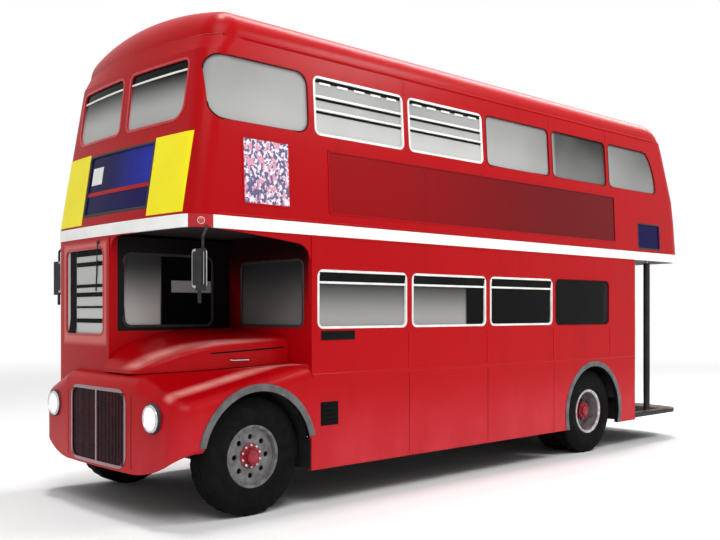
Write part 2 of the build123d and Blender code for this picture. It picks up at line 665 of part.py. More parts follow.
def make_wheels():
    lip, barrel, edge = RIM_RADIUS, RIM_RADIUS - 24, TYRE_WIDTH / 2 - 26
    # The front disc stands near the wheel's outer face, with the hub through it: x, radius
    front = [(40, 0), (118, 0), (118, 62), (70, 62), (70, barrel), (edge, barrel), (edge, lip)]
    front += [(-edge, lip), (-edge, barrel), (54, barrel), (54, 62), (40, 62)]
    # The rear pair is symmetrical about its middle, apart from the hub on the outside
    middle = (REAR_WHEEL_X[0] + REAR_WHEEL_X[1]) / 2
    apart = REAR_WHEEL_X[0] - middle
    half = [(62, 150), (62, barrel), (apart - edge, barrel), (apart - edge, lip)]
    half += [(apart + edge, lip), (apart + edge, barrel), (78, barrel)]
    pair = [(-78, 0)] + [mirrored(p) for p in reversed(half)] + half
    pair += [(78, 105), (192, 105), (192, 0)]
    for name, side in (("left", 1), ("right", -1)):
        x = side * FRONT_WHEEL_X
        add(f"front_tyre_{name}", tyre(x, FRONT_AXLE_Y))
        wheel = turned([(side * a, r) for a, r in front], x, FRONT_AXLE_Y)
        add(f"front_wheel_{name}", cut(wheel, hand_holes(x, FRONT_AXLE_Y, side, 62)))
        outer, inner = (side * v for v in REAR_WHEEL_X)
        add(f"rear_tyres_{name}", tyre(outer, REAR_AXLE_Y), tyre(inner, REAR_AXLE_Y))
        wheels = turned([(side * a, r) for a, r in pair], side * middle, REAR_AXLE_Y)
        add(f"rear_wheels_{name}", cut(wheels, hand_holes(side * middle, REAR_AXLE_Y, side, 70)))


def make_axles():
    y = (FRONT_AXLE_Y - 45, FRONT_AXLE_Y + 45)
    beam = block((-870, 870), y, (380, 450))
    for side in (-1, 1):
        pin_x = side * KINGPIN_X
        beam = beam + block(tuple(sorted((side * 790, side * 870))), y, (380, 560))
        beam = beam + block(tuple(sorted((side * 790, pin_x))), shrink(y, 10), (450, 560))
        beam = beam + Pos(pin_x, FRONT_AXLE_Y, TYRE_RADIUS) * Cylinder(38, 110)
        beam = beam + Pos(side * RAIL_X, FRONT_AXLE_Y, 475) * Cylinder(62, 50)
    for name, side in (("left", 1), ("right", -1)):
        x = side * KINGPIN_X
        jaw_y = (FRONT_AXLE_Y - 36, FRONT_AXLE_Y + 36)
        jaw = block(tuple(sorted((x - side * 20, x + side * 62))), jaw_y, (410, 444))
        web = block(tuple(sorted((x + side * 46, x + side * 66))), jaw_y, (410, 600))
        stub = Pos(x + side * 94, FRONT_AXLE_Y, TYRE_RADIUS) * Rot(0, 90, 0) * Cylinder(46, 66)
        add(f"steering_knuckle_{name}", jaw + Pos(0, 0, 156) * jaw + web + stub)

    # The rear axle: tubes with the bowl of the final drive between them: x, radius
    case = [(-795, 0), (-795, 58), (-330, 58), (-275, DRIVE_BOWL), (-165, DRIVE_BOWL), (-110, 58)]
    case += [(795, 58), (795, 0)]
    add("axles", beam, turned(case, 0, REAR_AXLE_Y))


def make_chassis():
    frame = None
    for side in (-1, 1):
        rail = block((360, 430), (-3950, 2760), (500, 640)) - block((372, 440), (-FAR, FAR), (512, 628))
        rail = rail if side > 0 else mirror(rail, about=Plane.YZ)
        frame = rail if frame is None else frame + rail
    for y in (-3900, -2600, -1400, -200, 1000, 2700):
        frame = frame + Pos(0, y, 612) * Rot(0, 90, 0) * Cylinder(24, 740)
    for y in (-2600, -1400, -200, 1000, 2700):
        for x in ((425, 1174), (-1174, -425)):
            frame = frame + block(x, (y - 25, y + 25), (600, 640))
    notch = Pos(0, REAR_AXLE_Y, TYRE_RADIUS) * Rot(0, 90, 0) * Cylinder(72, 2000)
    frame = frame - notch
    add("chassis_frame", frame)
    engine = block((60, 560), (-3850, -2850), (660, 1180)) + block((70, 340), (-3850, -2850), (500, 660))
    engine = engine + block((150, 450), (-3800, -2950), (1180, 1240))
    add("engine_block", engine)
    box = block((-170, 170), (-1300, -620), (470, 760 - 125))
    shaft = rod((-100, -600, 540), (-215, REAR_AXLE_Y - 175, 500), 36)
    tank = rounded_y((-1100, -520), (400, 630), 60, (-1200, -350))
    add("drivetrain", box, shaft)
    add("fuel_tank", tank)


def make_seats():
    for count, first_y, pitch, x, floor in SEAT_ROWS:
        for side, number in ((1, count[0]), (-1, count[1])):
            for i in range(number):
                add_seat(side, first_y + i * pitch, x, floor)
    bench_y = (REAR_AXLE_Y - 550, REAR_AXLE_Y + 550)
    for cushion, back in zip(
        both(block((730, 1110), bench_y, (1075, 1170))), both(block((1112, 1172), bench_y, (1075, 1500)))
    ):
        add("seats", cushion, back)


def add_seat(side, y, x, floor):
    """One double seat facing forwards: cushion, back, front legs and rear uprights."""
    x = x if side > 0 else (-x[1], -x[0])
    top = floor + 450
    add("seats", block(x, (y, y + 420), (top - 110, top)))
    add("seats", block(x, (y + 422, y + 490), (top - 60, top + 470)))
    for end in (x[0] + 50, x[1] - 50):
        across = (end - 15, end + 15)
        add("seat_frames", block(across, (y + 60, y + 90), (floor, top - 110)))
        add("seat_frames", block(across, (y + 490, y + 515), (floor, top + 440)))


def make_stairs_and_rails():
    rise = (UPPER_FLOOR_Z[1] - PLATFORM_Z) / 9
    stairs = None
    treads = [
        ((-560, -330), (3480, 4080)),
        ((-790, -545), (3480, 4080)),
        ((-1170, -775), (3780, 4000)),
        ((-1170, -575), (3560, 3795)),
        ((-1170, -575), (3370, 3575)),
        ((-1170, -575), (3180, 3385)),
        ((-1170, -575), (2990, 3195)),
        ((-1170, -575), (2802, 3005)),
    ]
    for k, (x, y) in enumerate(treads, start=1):
        z = PLATFORM_Z + k * rise
        step = block(x, y, (z - rise - 30, z)) if k > 1 else block(x, y, (PLATFORM_Z, z))
        stairs = step if stairs is None else stairs + step
    rear_clip = lower_solid(WALL + 4, (0, 3000))
    panel = block((-576, -546), (2802, 3478), (PLATFORM_Z, UPPER_FLOOR_Z[0]))
    add("staircase", (stairs & rear_clip) + panel)
    poles = [
        rod((1140, 3220, PLATFORM_Z), (1140, 3220, UPPER_FLOOR_Z[0]), 18),
        rod((1120, 2860, PLATFORM_Z), (1120, 2860, UPPER_FLOOR_Z[0]), 16),
    ]
    for y in (-1500, -60, 1380):
        for x in (-270, 270):
            poles.append(rod((x, y, FLOOR_Z), (x, y, UPPER_FLOOR_Z[0]), 14))
    add("grab_poles", poles)


def make_cab_fittings():
    x = (-860, -420)
    add("seats", block(x, (-3330, -2900), (1460, 1560)) + block(x, (-2902, -2830), (1530, 2040)))
    add("seat_frames", block((-760, -520), (-3260, -2960), (CAB_FLOOR_Z, 1460)))
    place = Pos(-640, -3596, 1650) * Rot(-19, 0, 0)
    wheel = place * (Cylinder(250, 24) - Cylinder(222, 40) + Box(470, 30, 14) + Cylinder(40, 30))
    column = rod((-640, -3760, CAB_FLOOR_Z + 60), (-640, -3600, 1640), 26)
    foot = block((-700, -580), (-3820, -3700), (CAB_FLOOR_Z, CAB_FLOOR_Z + 110))
    add("steering_wheel", wheel + column + foot)


def make_small_fittings():
    mirrors = []
    for side in (1, -1):
        top = (side * 1237, -3860, 2420)
        knee = (side * 1275, -3930, 2330)
        foot = (side * 1275, -3930, 1990)
        arm = rod(top, knee, 11) + rod(knee, foot, 11) + Pos(*knee) * Sphere(11)
        head = rounded_z((1215, 1335), (-3965, -3930), 14, (1900, 2230))
        arm = arm + (head if side > 0 else mirror(head, about=Plane.YZ))
        mirrors.append(arm)
    add("mirrors", mirrors)


def main():
    make_upper_body()
    make_roof()
    make_band_and_upper_floor()
    make_lower_body()
    make_cab()
    make_nose()
    make_bonnet()
    make_arch_trims()
    make_wheels()
    make_axles()
    make_chassis()
    make_seats()
    make_stairs_and_rails()
    make_cab_fittings()
    make_small_fittings()
    export_nodes()


if __name__ == "__main__":
    main()
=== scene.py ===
"""Looks of a half-cab double-decker bus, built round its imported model, in metres.

The bus faces -Y, with its nearside at +X. Every piece is made in place: its mesh holds the
bus's own coordinates, so a material can use them as they are.
"""

import math

import bmesh
import bpy
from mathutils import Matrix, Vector
from mathutils.bvhtree import BVHTree


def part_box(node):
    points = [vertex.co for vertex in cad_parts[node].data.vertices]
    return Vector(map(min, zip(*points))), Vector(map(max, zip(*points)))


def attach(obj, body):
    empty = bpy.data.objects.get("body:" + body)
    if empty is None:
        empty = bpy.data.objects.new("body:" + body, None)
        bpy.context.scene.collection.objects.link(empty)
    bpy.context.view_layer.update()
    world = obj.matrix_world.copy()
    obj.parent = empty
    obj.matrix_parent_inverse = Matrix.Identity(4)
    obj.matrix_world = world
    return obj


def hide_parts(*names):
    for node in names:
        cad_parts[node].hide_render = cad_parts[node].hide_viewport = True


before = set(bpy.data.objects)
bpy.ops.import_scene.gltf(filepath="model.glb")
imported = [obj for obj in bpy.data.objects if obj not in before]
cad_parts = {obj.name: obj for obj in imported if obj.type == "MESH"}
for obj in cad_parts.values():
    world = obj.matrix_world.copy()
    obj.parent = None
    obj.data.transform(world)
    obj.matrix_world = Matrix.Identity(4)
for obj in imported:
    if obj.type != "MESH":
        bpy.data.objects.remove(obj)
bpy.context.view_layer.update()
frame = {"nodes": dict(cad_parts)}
NODES = frame["nodes"]

# Places that the shapes share, read from the frame where it has them
BAND_LOW, BAND_HIGH = (corner.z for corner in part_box("waistband"))
SPRING_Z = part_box("roof_centre")[0].z
BULKHEAD_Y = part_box("lower_side_left")[0].y
HALF_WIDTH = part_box("lower_side_left")[1].x
CAB_LOW_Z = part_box("cab_shell")[0].z
CAB_SIDE_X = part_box("cab_shell")[1].x
HEADLAMP_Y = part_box("headlamps")[0].y
MIRROR_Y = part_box("mirrors")[0].y
AXLE_Z = 0.505
ARCH_RADIUS = 0.560
FRONT_AXLE_Y, REAR_AXLE_Y = -3.321, 1.810
FRONT_WHEEL_X = 1.010
REAR_WHEELS_X = (1.022, 0.742)
UPPER_GLASS_Z = (3.310, 3.850)
LOWER_GLASS_Z = (1.580, 2.110)
PILLARS_Y = (-2.720, -1.495, -0.270, 0.955, 2.180)
PILLAR_HALF = 0.035
BAYS = [(a + PILLAR_HALF, b - PILLAR_HALF) for a, b in zip(PILLARS_Y, PILLARS_Y[1:])]
FIRST_WINDOW_Y = (-3.795, -2.755)
ADVERT_Y = (-2.53, 2.30)
ADVERT_Z = (2.62, 3.18)
PLATFORM_Z = 0.4
CAB_ROOF_Z = 2.4
BETWEEN_DECKS_Z = 2.5
UPPER_FLOOR_Z = 2.51
STAIRS = 9

# The photo's frame and the camera that was fitted to it
CAMERA_AT = (7.244, -7.911, 1.734)
CAMERA_TURN = 47.3
CAMERA_LENS = 44.9
CAMERA_SHIFT = (0.0208, 0.0577)

# Middle of the marker lamp on the front nearside corner, in plan
LAMP_CORNER = (1.203, -3.898)


def rgb(*levels):
    """A colour given in the 0 to 255 steps of a screen, as the shader takes it."""
    parts = [level / 255 for level in levels]
    return (*(c / 12.92 if c <= 0.04045 else ((c + 0.055) / 1.055) ** 2.4 for c in parts), 1.0)


RED = rgb(170, 3, 12)
RED_LOW = rgb(178, 3, 13)
RED_PALER = rgb(214, 58, 70)
RED_DEEP = rgb(92, 1, 7)
# Pale pink of the painted highlights on the bonnet, the wings and the windscreen's posts
RED_PAINTED_HIGHLIGHT = rgb(244, 150, 144)
DARK_RED = rgb(92, 6, 14)
MAROON = rgb(58, 10, 22)
CREAM = rgb(206, 192, 150)
GREEN = rgb(66, 88, 72)
WHITE = rgb(246, 246, 242)
GREY = rgb(112, 112, 114)
BLACK = rgb(22, 22, 24)


class Tone:
    """A number that varies over a surface: a node's output, to calculate with."""

    def __init__(self, finish, output):
        self.finish = finish
        self.output = output

    def __add__(self, other):
        return self.finish.math("ADD", self, other)

    def __sub__(self, other):
        return self.finish.math("SUBTRACT", self, other)

    def __rsub__(self, other):
        return self.finish.math("SUBTRACT", other, self)

    def __mul__(self, other):
        return self.finish.math("MULTIPLY", self, other)

    def __lt__(self, other):
        return self.finish.math("LESS_THAN", self, other)

    def __gt__(self, other):
        return self.finish.math("GREATER_THAN", self, other)

    def __or__(self, other):
        return self.finish.math("MAXIMUM", self, other)

    def __abs__(self):
        return self.finish.math("ABSOLUTE", self)

    def step(self, low, high):
        """0 below low and 1 above high, with a smooth rise between them."""
        made = self.finish.node("MapRange", interpolation_type="SMOOTHSTEP", clamp=True)
        for socket, value in (("Value", self), ("From Min", low), ("From Max", high)):
            self.finish.put(value, made.inputs[socket])
        return Tone(self.finish, made.outputs["Result"])

    def within(self, span, soft=0.005):
        """1 inside a span, with soft ends."""
        return self.step(span[0] - soft, span[0] + soft) * self.step(span[1] + soft, span[1] - soft)


def blend(mask, a, b):
    """a where the mask is 0, and b where it is 1."""
    return mask * (b - a) + a


class Finish:
    """A Principled material whose textures come from the bus's own coordinates."""

    def __init__(self, name, color, roughness=0.5, metallic=0.0, **sockets):
        self.material = bpy.data.materials.new(name)
        self.material.use_nodes = True
        self.tree = self.material.node_tree
        self.shader = self.tree.nodes["Principled BSDF"]
        sockets.update(Base_Color=color, Roughness=roughness, Metallic=metallic)
        for socket, value in sockets.items():
            self.shader.inputs[socket.replace("_", " ")].default_value = value
        coordinates = self.node("TexCoord").outputs
        self.place, self.facing = coordinates["Object"], coordinates["Normal"]
        self.parts = None

    def node(self, kind, **settings):
        made = self.tree.nodes.new("ShaderNode" + kind)
        for name, value in settings.items():
            setattr(made, name, value)
        return made

    def put(self, value, socket):
        """Sets a socket to a number or a colour, or links an output to it."""
        if isinstance(value, (int, float, tuple)):
            socket.default_value = value
        else:
            self.tree.links.new(getattr(value, "output", value), socket)

    def split(self, vector):
        made = self.node("SeparateXYZ")
        self.put(vector, made.inputs[0])
        return [Tone(self, part) for part in made.outputs]

    def axes(self):
        """The place on the bus, as x, y and z."""
        if self.parts is None:
            self.parts = self.split(self.place)
        return self.parts

    def normal(self):
        """The three parts of the surface's normal, in the bus's own directions."""
        return self.split(self.facing)

    def math(self, operation, a, b=0.0):
        made = self.node("Math", operation=operation)
        self.put(a, made.inputs[0])
        self.put(b, made.inputs[1])
        return Tone(self, made.outputs[0])

    def far(self, a, b):
        """Length of the sum of two steps at right angles."""
        return self.math("SQRT", a * a + b * b)

    def from_axle(self, axle_y):
        _, y, z = self.axes()
        return self.far(y - axle_y, z - AXLE_Z)

    def noise(self, scale, detail=3.0, stretch=(1, 1, 1)):
        vector = self.node("VectorMath", operation="MULTIPLY")
        self.put(self.place, vector.inputs[0])
        self.put(stretch, vector.inputs[1])
        made = self.node("TexNoise")
        for socket, value in (("Vector", vector.outputs[0]), ("Scale", scale), ("Detail", detail)):
            self.put(value, made.inputs[socket])
        return Tone(self, made.outputs["Fac"])

    def mix(self, fac, a, b):
        made = self.node("Mix", data_type="RGBA")
        for slot, value in ((0, fac), (6, a), (7, b)):
            self.put(value, made.inputs[slot])
        return made.outputs[2]

    def color(self, output):
        self.put(output, self.shader.inputs["Base Color"])

    def rough(self, value, low, high):
        """Roughness between low and high as value goes from 0 to 1."""
        self.put(value * (high - low) + low, self.shader.inputs["Roughness"])

    def bump(self, height, strength, distance):
        made = self.node("Bump")
        for socket, value in (("Strength", strength), ("Distance", distance), ("Height", height)):
            self.put(value, made.inputs[socket])
        self.put(made.outputs[0], self.shader.inputs["Normal"])

    def inward(self):
        """1 on the faces that look into the bus."""
        x, y, z = self.axes()
        nx, ny, nz = self.normal()
        facing = self.math("SIGN", y) * ny * (abs(y) > 3.7) + self.math("SIGN", x) * nx
        return (facing < -0.3) | ((nz < -0.25) * (z > SPRING_Z - 0.02))


def red_tone(f):
    """Red with a deeper advert panel, faint streaks, paler pink patches towards the skirt and black wheel
    arches.
    """
    _, y, z = f.axes()
    shade = f.mix(z.step(2.6, 0.9), RED, RED_LOW)
    panel_depth = y.step(-2.5, 1.2) * 0.5 + 0.42
    shade = f.mix(y.within(ADVERT_Y) * z.within(ADVERT_Z) * panel_depth, shade, RED_DEEP)
    streaks = f.noise(7.0, 4.0, (1, 1, 0.12)).step(0.52, 0.8)
    tone = f.mix(streaks * 0.16, shade, DARK_RED)
    patches = f.noise(3.0, 5.0, (1, 1, 0.5)).step(0.35, 0.75) * 0.5 + 0.5
    tone = f.mix(patches * z.step(1.15, 0.3) * 0.75, tone, RED_PALER)
    for axle in (FRONT_AXLE_Y, REAR_AXLE_Y):
        tone = f.mix(f.from_axle(axle) < ARCH_RADIUS + 0.006, tone, BLACK)
    return tone


def red_finish(name, color):
    """A gloss red coat whose clear layer shows the sky's streaks."""
    f = Finish(name, RED, 0.35, Specular_IOR_Level=0.0, Coat_Weight=0.6, Coat_Roughness=0.3, Coat_IOR=1.28)
    f.color(color(f))
    f.rough(f.noise(5.0, 4.0), 0.3, 0.5)
    f.bump(f.noise(180.0, 2.0), 0.04, 0.001)
    return f.material


def nose_tone(f):
    """Body red, with a painted highlight in pale pink along the crests of the bonnet and the wings."""
    x, y, z = f.axes()
    ridge = abs(abs(x) - (y * 0.5 + 2.42))
    bonnet = ridge.step(0.17, 0.0) * z.step(1.22, 1.27)
    wing = abs(abs(x) - 1.02).step(0.075, 0.0)
    # Painted highlight: a pale streak where the crests face up, broken into patches by noise
    crest_highlight = f.normal()[2].step(0.5, 0.8) * (bonnet | wing)
    highlight_patches = f.noise(5.0, 5.0, (1, 0.35, 2)).step(0.35, 0.65) * 0.45 + 0.5
    return f.mix(crest_highlight * highlight_patches, red_tone(f), RED_PAINTED_HIGHLIGHT)


def lined(f):
    """Body red outside, with cream and green linings inside."""
    z = f.axes()[2]
    upper = f.mix(z.step(3.26, 3.28), GREEN, CREAM)
    lower = f.mix(z.step(1.54, 1.56), GREEN, CREAM)
    return f.mix(f.inward(), red_tone(f), f.mix(z < BETWEEN_DECKS_Z, upper, lower))


def cab_tone(f):
    """Body red, with a painted highlight round the windscreen, and painted shade, near black, on the cab
    wall beside the bonnet.
    """
    x, y, z = f.axes()
    # Painted shade: near black above the waist, behind the cab's front
    wall = f.mix((y > -3.965) * (z > 1.56), red_tone(f), rgb(16, 12, 13))
    # Painted highlight on the posts round the windscreen
    round_pane = (abs(x + 0.53) - 0.39) | (abs(z - 1.9) - 0.40)
    pane_highlight = round_pane.step(0.09, 0.03) * (y < -3.93)
    return f.mix(pane_highlight * 0.5, f.mix(x > -0.075, lined(f), wall), RED_PAINTED_HIGHLIGHT)


def bulkhead_tone(f):
    """The front bulkhead, with painted shade that takes it from red at the bonnet to black under the canopy.
    """
    x, y, z = f.axes()
    # Painted shade, deeper upwards and towards the offside
    shade = z.step(1.45, 2.32) | (x.step(0.35, -0.05) * 0.8)
    return f.mix((y < -2.7) * shade, lined(f), rgb(26, 8, 10))


def paint(name, color, second, roughness=0.35, scale=4.0, **sockets):
    """A painted surface whose tone wanders between two colours."""
    f = Finish(name, color, roughness, **sockets)
    f.color(f.mix(f.noise(scale, 5.0).step(0.3, 0.7), color, second))
    f.rough(f.noise(scale * 3, 4.0), roughness * 0.8, roughness * 1.3)
    f.bump(f.noise(160.0, 2.0), 0.06, 0.001)
    return f.material


def paint_wheel(name, axle_y, bare):
    """A grey or pale wheel with a red hub, dusty in patches."""
    f = Finish(name, GREY, 0.45, Specular_IOR_Level=0.3)
    grime = f.noise(14.0, 6.0).step(0.35, 0.7)
    body = f.mix(grime * 0.55, bare, rgb(58, 56, 56))
    red = f.mix(grime * 0.5, rgb(150, 16, 34), rgb(84, 20, 30))
    f.color(f.mix(f.from_axle(axle_y).step(0.112, 0.108), body, red))
    f.rough(grime, 0.4, 0.65)
    f.bump(f.noise(60.0, 4.0), 0.15, 0.002)
    return f.material


def metal(name, color, roughness, metallic=1.0):
    """Metal clouded with a darker tone of its own colour."""
    f = Finish(name, color, roughness, metallic)
    darker = tuple(c * 0.75 for c in color[:3]) + (1,)
    f.color(f.mix(f.noise(9.0, 5.0).step(0.35, 0.7), color, darker))
    f.rough(f.noise(22.0, 4.0), roughness * 0.7, roughness * 1.5)
    return f.material


def glass():
    """Old bus glass, whose colour holds painted reflections and painted shade: each window shows its own
    share of pale sky and dark surroundings.
    """
    f = Finish("window_glass", GREY, 0.06, Specular_IOR_Level=0.05, Alpha=0.94)
    x, y, z = f.axes()
    first, second, third = PILLARS_Y[:3]
    # Painted reflections on the upper windows, darker towards the top and different in each bay
    rise = z.step(3.3, 3.86)
    in_bay = f.math("FRACT", f.math("DIVIDE", y - first, second - first))
    tail = in_bay * 0.12 + rise * 0.17 + y.step(1.0, 1.1) * 0.38 + 0.32 - y.step(2.17, 2.2) * 0.22
    upper = blend(y > third, rise * 0.12 + 0.33, tail)
    upper = blend((y > first) * (y < third), upper, rise * 0.3 + 0.14)
    upper = blend(y < -3.8, upper, z.step(3.45, 3.78) * 0.72 + 0.28)
    upper = upper + f.noise(0.9, 2.0) * 0.3 - 0.15

    # The lower windows: painted shade where the inside is dark, and painted pale reflections
    low_rise = z.step(1.65, 2.05)
    lower = blend(y.step(-0.64, -0.6), low_rise * 0.45 + 0.5, 1.0 - y.step(2.0, 2.2) * 0.04)
    lower = blend((y < -2.68) * (y > -2.85), lower, z.step(1.6, 2.2) * 0.2 + 0.76)
    beyond = (z.step(1.62, 2.2) * 0.8 + 0.15) * y.step(-3.39, -3.5)
    # A painted gleam on a pane inside the cab
    painted_glint = z.within((1.915, 2.025)) * y.step(-3.40, -3.39)
    past = y.step(-3.53, -3.5) - painted_glint * 0.5
    lower = blend((x > -0.1) * (y < -2.86), lower, beyond | past)
    # The windscreen painted dark
    lower = blend((x < -0.12) * (y < -3.93), lower, low_rise * 0.1 + 0.06)
    # dark is 0 for the painted pale reflection and 1 for the painted dark
    dark = blend(z > BETWEEN_DECKS_Z, lower, upper)
    f.color(f.mix(dark, rgb(214, 214, 212), rgb(10, 10, 11)))
    f.bump(f.noise(1.7, 2.0), 0.04, 0.01)
    return f.material


def poster_print():
    """A pale poster with a plain speckle of navy and rose."""
    f = Finish("poster_print", WHITE, 0.5)
    tone = f.mix(f.noise(30.0, 2.0).step(0.47, 0.5), rgb(232, 222, 232), rgb(84, 82, 124))
    f.color(f.mix(f.noise(23.0, 1.0, (1, 1.2, 0.9)).step(0.56, 0.59), tone, rgb(214, 150, 170)))
    f.rough(f.noise(12.0), 0.4, 0.6)
    return f.material


def sign_face():
    """The blue of the sign boxes, with painted light that grows towards the nearside."""
    f = Finish("sign_face", rgb(28, 18, 120), 0.3, Specular_IOR_Level=0.05)
    x, y, z = f.axes()
    # Painted light on the signs at the front, strongest towards the nearside and in the upper box
    light = x.step(-0.25, 0.5) * ((z < 2.82) * -0.9 + 1.0) * (y < 0.0)
    f.color(f.mix(light * (f.noise(3.0, 3.0) * 0.9 + 0.1), rgb(10, 0, 66), rgb(40, 56, 186)))
    return f.material


def band_paint():
    """White, with a red break round the marker lamp on each front corner."""
    f = Finish("white_band_paint", WHITE, 0.3)
    x, y, _ = f.axes()
    reach = f.far(abs(x) - LAMP_CORNER[0], y - LAMP_CORNER[1])
    tone = f.mix(f.noise(4.0, 5.0).step(0.3, 0.7), rgb(252, 252, 250), rgb(240, 240, 236))
    f.color(f.mix(reach < 0.105, tone, RED))
    f.rough(f.noise(12.0, 4.0), 0.24, 0.4)
    return f.material


def frame_paint():
    """White frames on the sides, and red ones round the front panes, a little paler than the body for a
    painted highlight.
    """
    f = Finish("window_frame_paint", WHITE, 0.35)
    grime = f.mix(f.noise(5.0, 5.0).step(0.3, 0.7), WHITE, rgb(222, 220, 216))
    f.color(f.mix(f.axes()[1] < -3.72, grime, rgb(178, 26, 36)))
    f.rough(f.noise(14.0, 4.0), 0.28, 0.5)
    return f.material


def grille_finish():
    """Dark slats with a bright surround and centre bar."""
    f = Finish("grille_finish", MAROON, 0.3, Specular_IOR_Level=0.15)
    x, z = abs(f.axes()[0]), f.axes()[2]
    edge = (x > 0.470) | (x < 0.014) | (z > 1.050) | (z < 0.434)
    slat = f.mix(f.noise(6.0).step(0.3, 0.7), rgb(64, 14, 26), rgb(36, 9, 16))
    # The pink tint of the surround's colour is a painted reflection of the red paint round it
    f.color(f.mix(edge, slat, rgb(150, 128, 132)))
    f.put(edge * 0.85, f.shader.inputs["Metallic"])
    f.rough(f.noise(20.0), 0.2, 0.4)
    return f.material


def floor_boards():
    """Worn slats on top, and near black on the faces that don't look up: black paint under the lower floor,
    and painted shade under the upper floor, over the canopy and the lower saloon.
    """
    f = Finish("floor_boards", rgb(104, 84, 64), 0.7)
    slat = f.math("FRACT", f.axes()[0] * 18.0).step(0.06, 0.1)
    wood = f.mix(f.noise(6.0, 5.0, (6, 0.6, 1)).step(0.3, 0.7), rgb(110, 90, 68), rgb(72, 58, 46))
    boards = f.mix(slat, rgb(30, 24, 20), wood)
    # Near black below: black paint under the lower floor, painted shade under the upper one
    f.color(f.mix(f.normal()[2] < 0.2, boards, rgb(20, 17, 17)))
    f.rough(f.noise(9.0), 0.55, 0.8)
    return f.material


def lamp_lens():
    """White ribbed glass that shines faintly."""
    white = (1, 1, 1, 1)
    f = Finish("lamp_lens", rgb(250, 250, 248), 0.15, Emission_Color=white, Emission_Strength=0.35)
    f.bump(f.math("SINE", f.axes()[0] * 420.0), 0.3, 0.002)
    return f.material


def moquette():
    """Woven seat cloth in a small check."""
    f = Finish("moquette_cloth", rgb(110, 30, 36), 0.95, Specular_IOR_Level=0.1, Sheen_Weight=0.3)
    a, b, c = (f.math("FRACT", axis * 9.0) < 0.28 for axis in f.axes())
    tone = f.mix(a | b | c, rgb(112, 28, 36), rgb(64, 58, 70))
    fine = f.noise(140.0, 2.0).step(0.4, 0.6)
    f.color(f.mix(fine * 0.4, tone, rgb(190, 160, 90)))
    f.bump(f.noise(420.0, 1.0), 0.4, 0.002)
    return f.material


MATERIALS = dict(
    red=red_finish("red_body_paint", red_tone),
    nose=red_finish("red_nose_paint", nose_tone),
    lined=red_finish("red_lined_paint", lined),
    cab=red_finish("cab_paint", cab_tone),
    bulkhead=red_finish("bulkhead_paint", bulkhead_tone),
    white=paint("white_fitting_paint", WHITE, rgb(226, 226, 220), 0.3),
    band=band_paint(),
    frames=frame_paint(),
    grille=grille_finish(),
    boards=floor_boards(),
    maroon=paint("dark_maroon_paint", MAROON, rgb(38, 8, 16)),
    black=paint("black_chassis_paint", BLACK, rgb(38, 36, 34), 0.6, Specular_IOR_Level=0.25),
    iron=metal("cast_iron_grey", rgb(74, 74, 76), 0.6, 0.5),
    grey=paint("grey_wing_edge", rgb(98, 98, 100), rgb(70, 68, 70), 0.5, 9.0),
    chrome=metal("polished_chrome", rgb(214, 214, 218), 0.12),
    steel=metal("brushed_steel_tube", rgb(180, 180, 184), 0.3),
    rubber=paint("window_rubber", rgb(26, 24, 26), rgb(44, 40, 42), 0.7, 30.0),
    tyre=paint("tyre_rubber", rgb(9, 9, 10), rgb(19, 18, 18), 0.8, 9.0, Specular_IOR_Level=0.1),
    yellow=paint("yellow_panel_paint", rgb(251, 239, 34), rgb(249, 233, 32), 0.4, Specular_IOR_Level=0.15),
    glass=glass(),
    gap=paint("dark_gap_and_painted_dark", rgb(10, 10, 11), rgb(18, 17, 17), 0.8, Specular_IOR_Level=0.1),
    seam=paint("panel_seam", rgb(70, 6, 10), rgb(50, 6, 8), 0.7, Specular_IOR_Level=0.1),
    poster=poster_print(),
    amber=paint("amber_lens", rgb(226, 60, 26), rgb(200, 40, 20), 0.2),
    rear_lamp=paint("red_lens", rgb(170, 8, 14), rgb(130, 6, 10), 0.2),
    lens=lamp_lens(),
    hub=paint("red_hub_paint", rgb(170, 20, 40), rgb(110, 18, 30), 0.4, 20.0),
    wheel_grey=paint("rim_grey", rgb(110, 109, 110), rgb(70, 68, 68), 0.45, 20.0),
    pale=paint("pale_rim_paint", rgb(214, 210, 210), rgb(160, 152, 152), 0.4, 20.0),
    moquette=moquette(),
    leather=paint("driver_seat_cover", rgb(60, 30, 24), rgb(42, 22, 18), 0.5, 12.0),
    sign=sign_face(),
    front_wheel=paint_wheel("front_wheel_paint", FRONT_AXLE_Y, rgb(120, 119, 120)),
    rear_wheel=paint_wheel("rear_wheel_paint", REAR_AXLE_Y, rgb(132, 122, 124)),
)

# The record's slot for the pieces of each material, unless a piece names another; the script keeps this
# table but gives no piece its slot
SLOTS = {
    "red_paint": "red yellow hub",
    "white_paint": "white pale poster",
    "black_steel": "black gap seam",
    "chrome": "chrome steel",
    "cast_iron": "iron",
    "grey_steel": "wheel_grey",
    "tyre": "tyre rubber",
    "lamp_glass": "amber rear_lamp lens",
    "moquette": "moquette leather",
}
SLOT_OF = {key: slot for slot, keys in SLOTS.items() for key in keys.split()}

# The CAD nodes of each material; every other node is lined bodywork
CAD_FINISHES = {
    "black": "chassis_frame drivetrain fuel_tank axles steering_wheel mirrors",
    "iron": "engine_block steering_knuckle_left steering_knuckle_right",
    "nose": "radiator_cowl front_wings bonnet",
    "cab": "cab_shell",
    "bulkhead": "bulkheads",
    "band": "waistband",
    "frames": "window_frames",
    "sign": "destination_blinds",
    "grille": "grille",
    "chrome": "headlamps",
    "maroon": "staircase",
    "grey": "wheel_arch_trims",
    "steel": "grab_poles seat_frames",
    "glass": "glazing cab_door_glass emergency_window_glass",
    "boards": "floors rear_platform",
    "tyre": "front_tyre_left front_tyre_right rear_tyres_left rear_tyres_right",
    "front_wheel": "front_wheel_left front_wheel_right",
    "rear_wheel": "rear_wheels_left rear_wheels_right",
}


